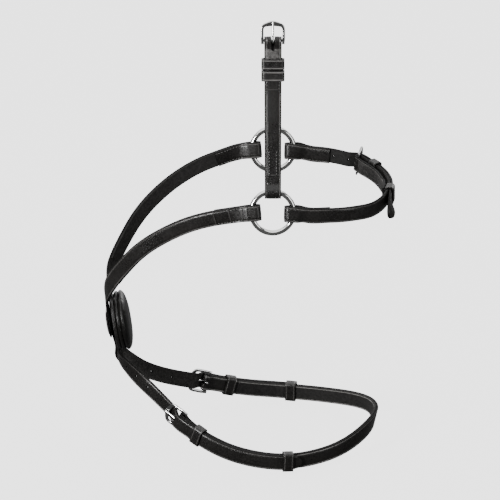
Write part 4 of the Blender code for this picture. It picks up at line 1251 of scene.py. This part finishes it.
def pad():
    """Cushion, then the backing under the crossing straps and the cap over them."""
    cushion()
    base = CUSHION_DEPTH + GAP
    item = turned("nose_pad_backing_piece", np.array(BACKING_SIDE) * MM + (0, base))
    dress(item, LEATHER, nodes=("nose_pad_backing",))
    disc_stitches("nose_pad_thread", 25 * MM, base + 3.3 * MM, 46, 0.3 * MM)
    foot = base + BACKING + 2 * PAD_GAP + GAP + 2 * NOSE
    item = turned("nose_pad_cap_piece", smooth_line(CAP_SIDE, 70, False) * MM + (0, foot))
    dress(item, CAP_LEATHER, nodes=("nose_pad_cap",))
    disc_stitches("cap_thread", 10.6 * MM, foot + 2.32 * MM, 24, 0.28 * MM)


def chin_fittings():
    low = -top_of(PADDING) - PADDING_EASE
    high = top_of(CHIN) + BILLET_GAP + NOSE
    for side, heel, way, places in (
            ("near", NEAR_HEEL, -1, (69.1, 157.8)), ("far", FAR_HEEL, 1, (99.3, 160.8))):
        seat = Seat(EIGHT, heel, 0, -way, FRAME_TILT)
        buckle(f"{side}_chin", seat, "noseband", f"{side}_chin_tongue")
        for kind, x in zip(("fixed", "loose"), places):
            at = EIGHT.at_x(x * MM, way)
            keeper(f"{side}_chin_{kind}_keeper", Seat(EIGHT, at), STRAP / 2, low, high,
                   "noseband" if kind == "fixed" else f"{side}_chin_runner")


def cheek_fittings():
    buckle("cheek", Seat(CHEEK_LINE, CHEEK_LENGTH), "cheek_buckle", "cheek_tongue")
    low = -top_of(CHEEK)
    for kind, back in (("fixed", 23.5), ("loose", 35.3)):
        keeper(f"cheek_{kind}_keeper", Seat(CHEEK_LINE, CHEEK_LENGTH - back * MM),
               CHEEK_WIDTH / 2 + 0.9 * MM, low, -low + 2.6 * MM,
               "cheek_strap" if kind == "fixed" else "cheek_runner", leather=CHEEK_KEEPER)


def jaw_fittings():
    seat = Seat(JAW_LINE, JAW_HEEL, 0, -1, JAW_FRAME_TILT)
    buckle("jaw", seat, "noseband", "jaw_tongue")
    high = top_of(JAW) + BILLET_GAP + JAW
    for kind, at, body, room in (("fixed", JAW_HEEL + 20 * MM, "noseband", JAW_ROOM),
                                 ("loose", JAW_LOOSE, "jaw_runner", 0.6 * MM)):
        keeper(f"jaw_{kind}_keeper", Seat(JAW_LINE, at), STRAP / 2, GAP / 2, high, body, room)


wire_ring("near_ring", NEAR_RING)
wire_ring("far_ring", FAR_RING)
chin_fittings()
cheek_fittings()
jaw_fittings()
pad()


# Floor, light and camera

def stage():
    floor = add_primitive("grid", "floor", x_subdivisions=4, y_subdivisions=4, size=14,
                          location=(0.12, 3.0, -0.131))
    paint = Finish("pale floor")
    paint.surface(Base_Color=(0.1, 0.1, 0.1, 1), Roughness=0.9,
                  Emission_Color=(1, 1, 1, 1), Emission_Strength=2.6)
    floor.data.materials.append(paint.material)
    floor.visible_diffuse = False
    floor.visible_glossy = False


def softbox(name, place, target, size, power):
    data = bpy.data.lights.new(name, "AREA")
    data.shape = "RECTANGLE"
    data.size, data.size_y = size
    data.energy = power
    lamp = bpy.data.objects.new(name, data)
    bpy.context.scene.collection.objects.link(lamp)
    lamp.location = place
    lamp.rotation_mode = "QUATERNION"
    lamp.rotation_quaternion = (Vector(target) - Vector(place)).to_track_quat("-Z", "Y")
    lamp.visible_camera = False


def camera():
    """The photograph's view: level with +Y, looking down, 1 mm to a pixel."""
    data = bpy.data.cameras.new("camera")
    data.lens, data.sensor_width = 1440, 36
    data.clip_start, data.clip_end = 1, 40
    eye = bpy.data.objects.new("camera", data)
    bpy.context.scene.collection.objects.link(eye)
    ahead = Vector((0, math.cos(VIEW_DIP), -math.sin(VIEW_DIP)))
    centre = Vector((250 - 130.2, 0, (319.5 - 250) / math.cos(VIEW_DIP))) * MM
    eye.location = centre - ahead * VIEW_DISTANCE
    eye.rotation_euler = (math.pi / 2 - VIEW_DIP, 0, 0)
    bpy.context.scene.camera = eye


def surroundings():
    """Even, weak white light from everywhere."""
    world = bpy.data.worlds.new("studio")
    bpy.context.scene.world = world
    world.use_nodes = True
    colour, strength = world.node_tree.nodes["Background"].inputs[:2]
    colour.default_value = (1, 1, 1, 1)
    strength.default_value = 0.17


VIEW_DIP = math.radians(25)
VIEW_DISTANCE = 20
# Name, place, aim, (width, height) and power, in metres and watts.
LIGHTS = (
    ("top box", (-0.1, 0.1, 1.5), (0.12, 0, 0.05), (3, 2.2), 68),
    ("left box", (-1.25, -1.5, 0.75), (0.05, 0, 0.08), (0.5, 0.8), 105),
    ("right strip", (1.4, -1, 0.7), (0.15, 0, 0.08), (0.6, 1.5), 18),
    ("back right box", (1.3, 1.5, 0.6), (0.12, 0, 0.08), (0.8, 0.8), 10),
    ("back fill", (0.1, 2.6, 1), (0.12, 0, 0.05), (5, 3.2), 70),
    ("back left box", (-1.2, 1.6, 0.5), (0.02, 0, 0), (0.6, 0.8), 8),
)
stage()
for light in LIGHTS:
    softbox(*light)
camera()
surroundings()
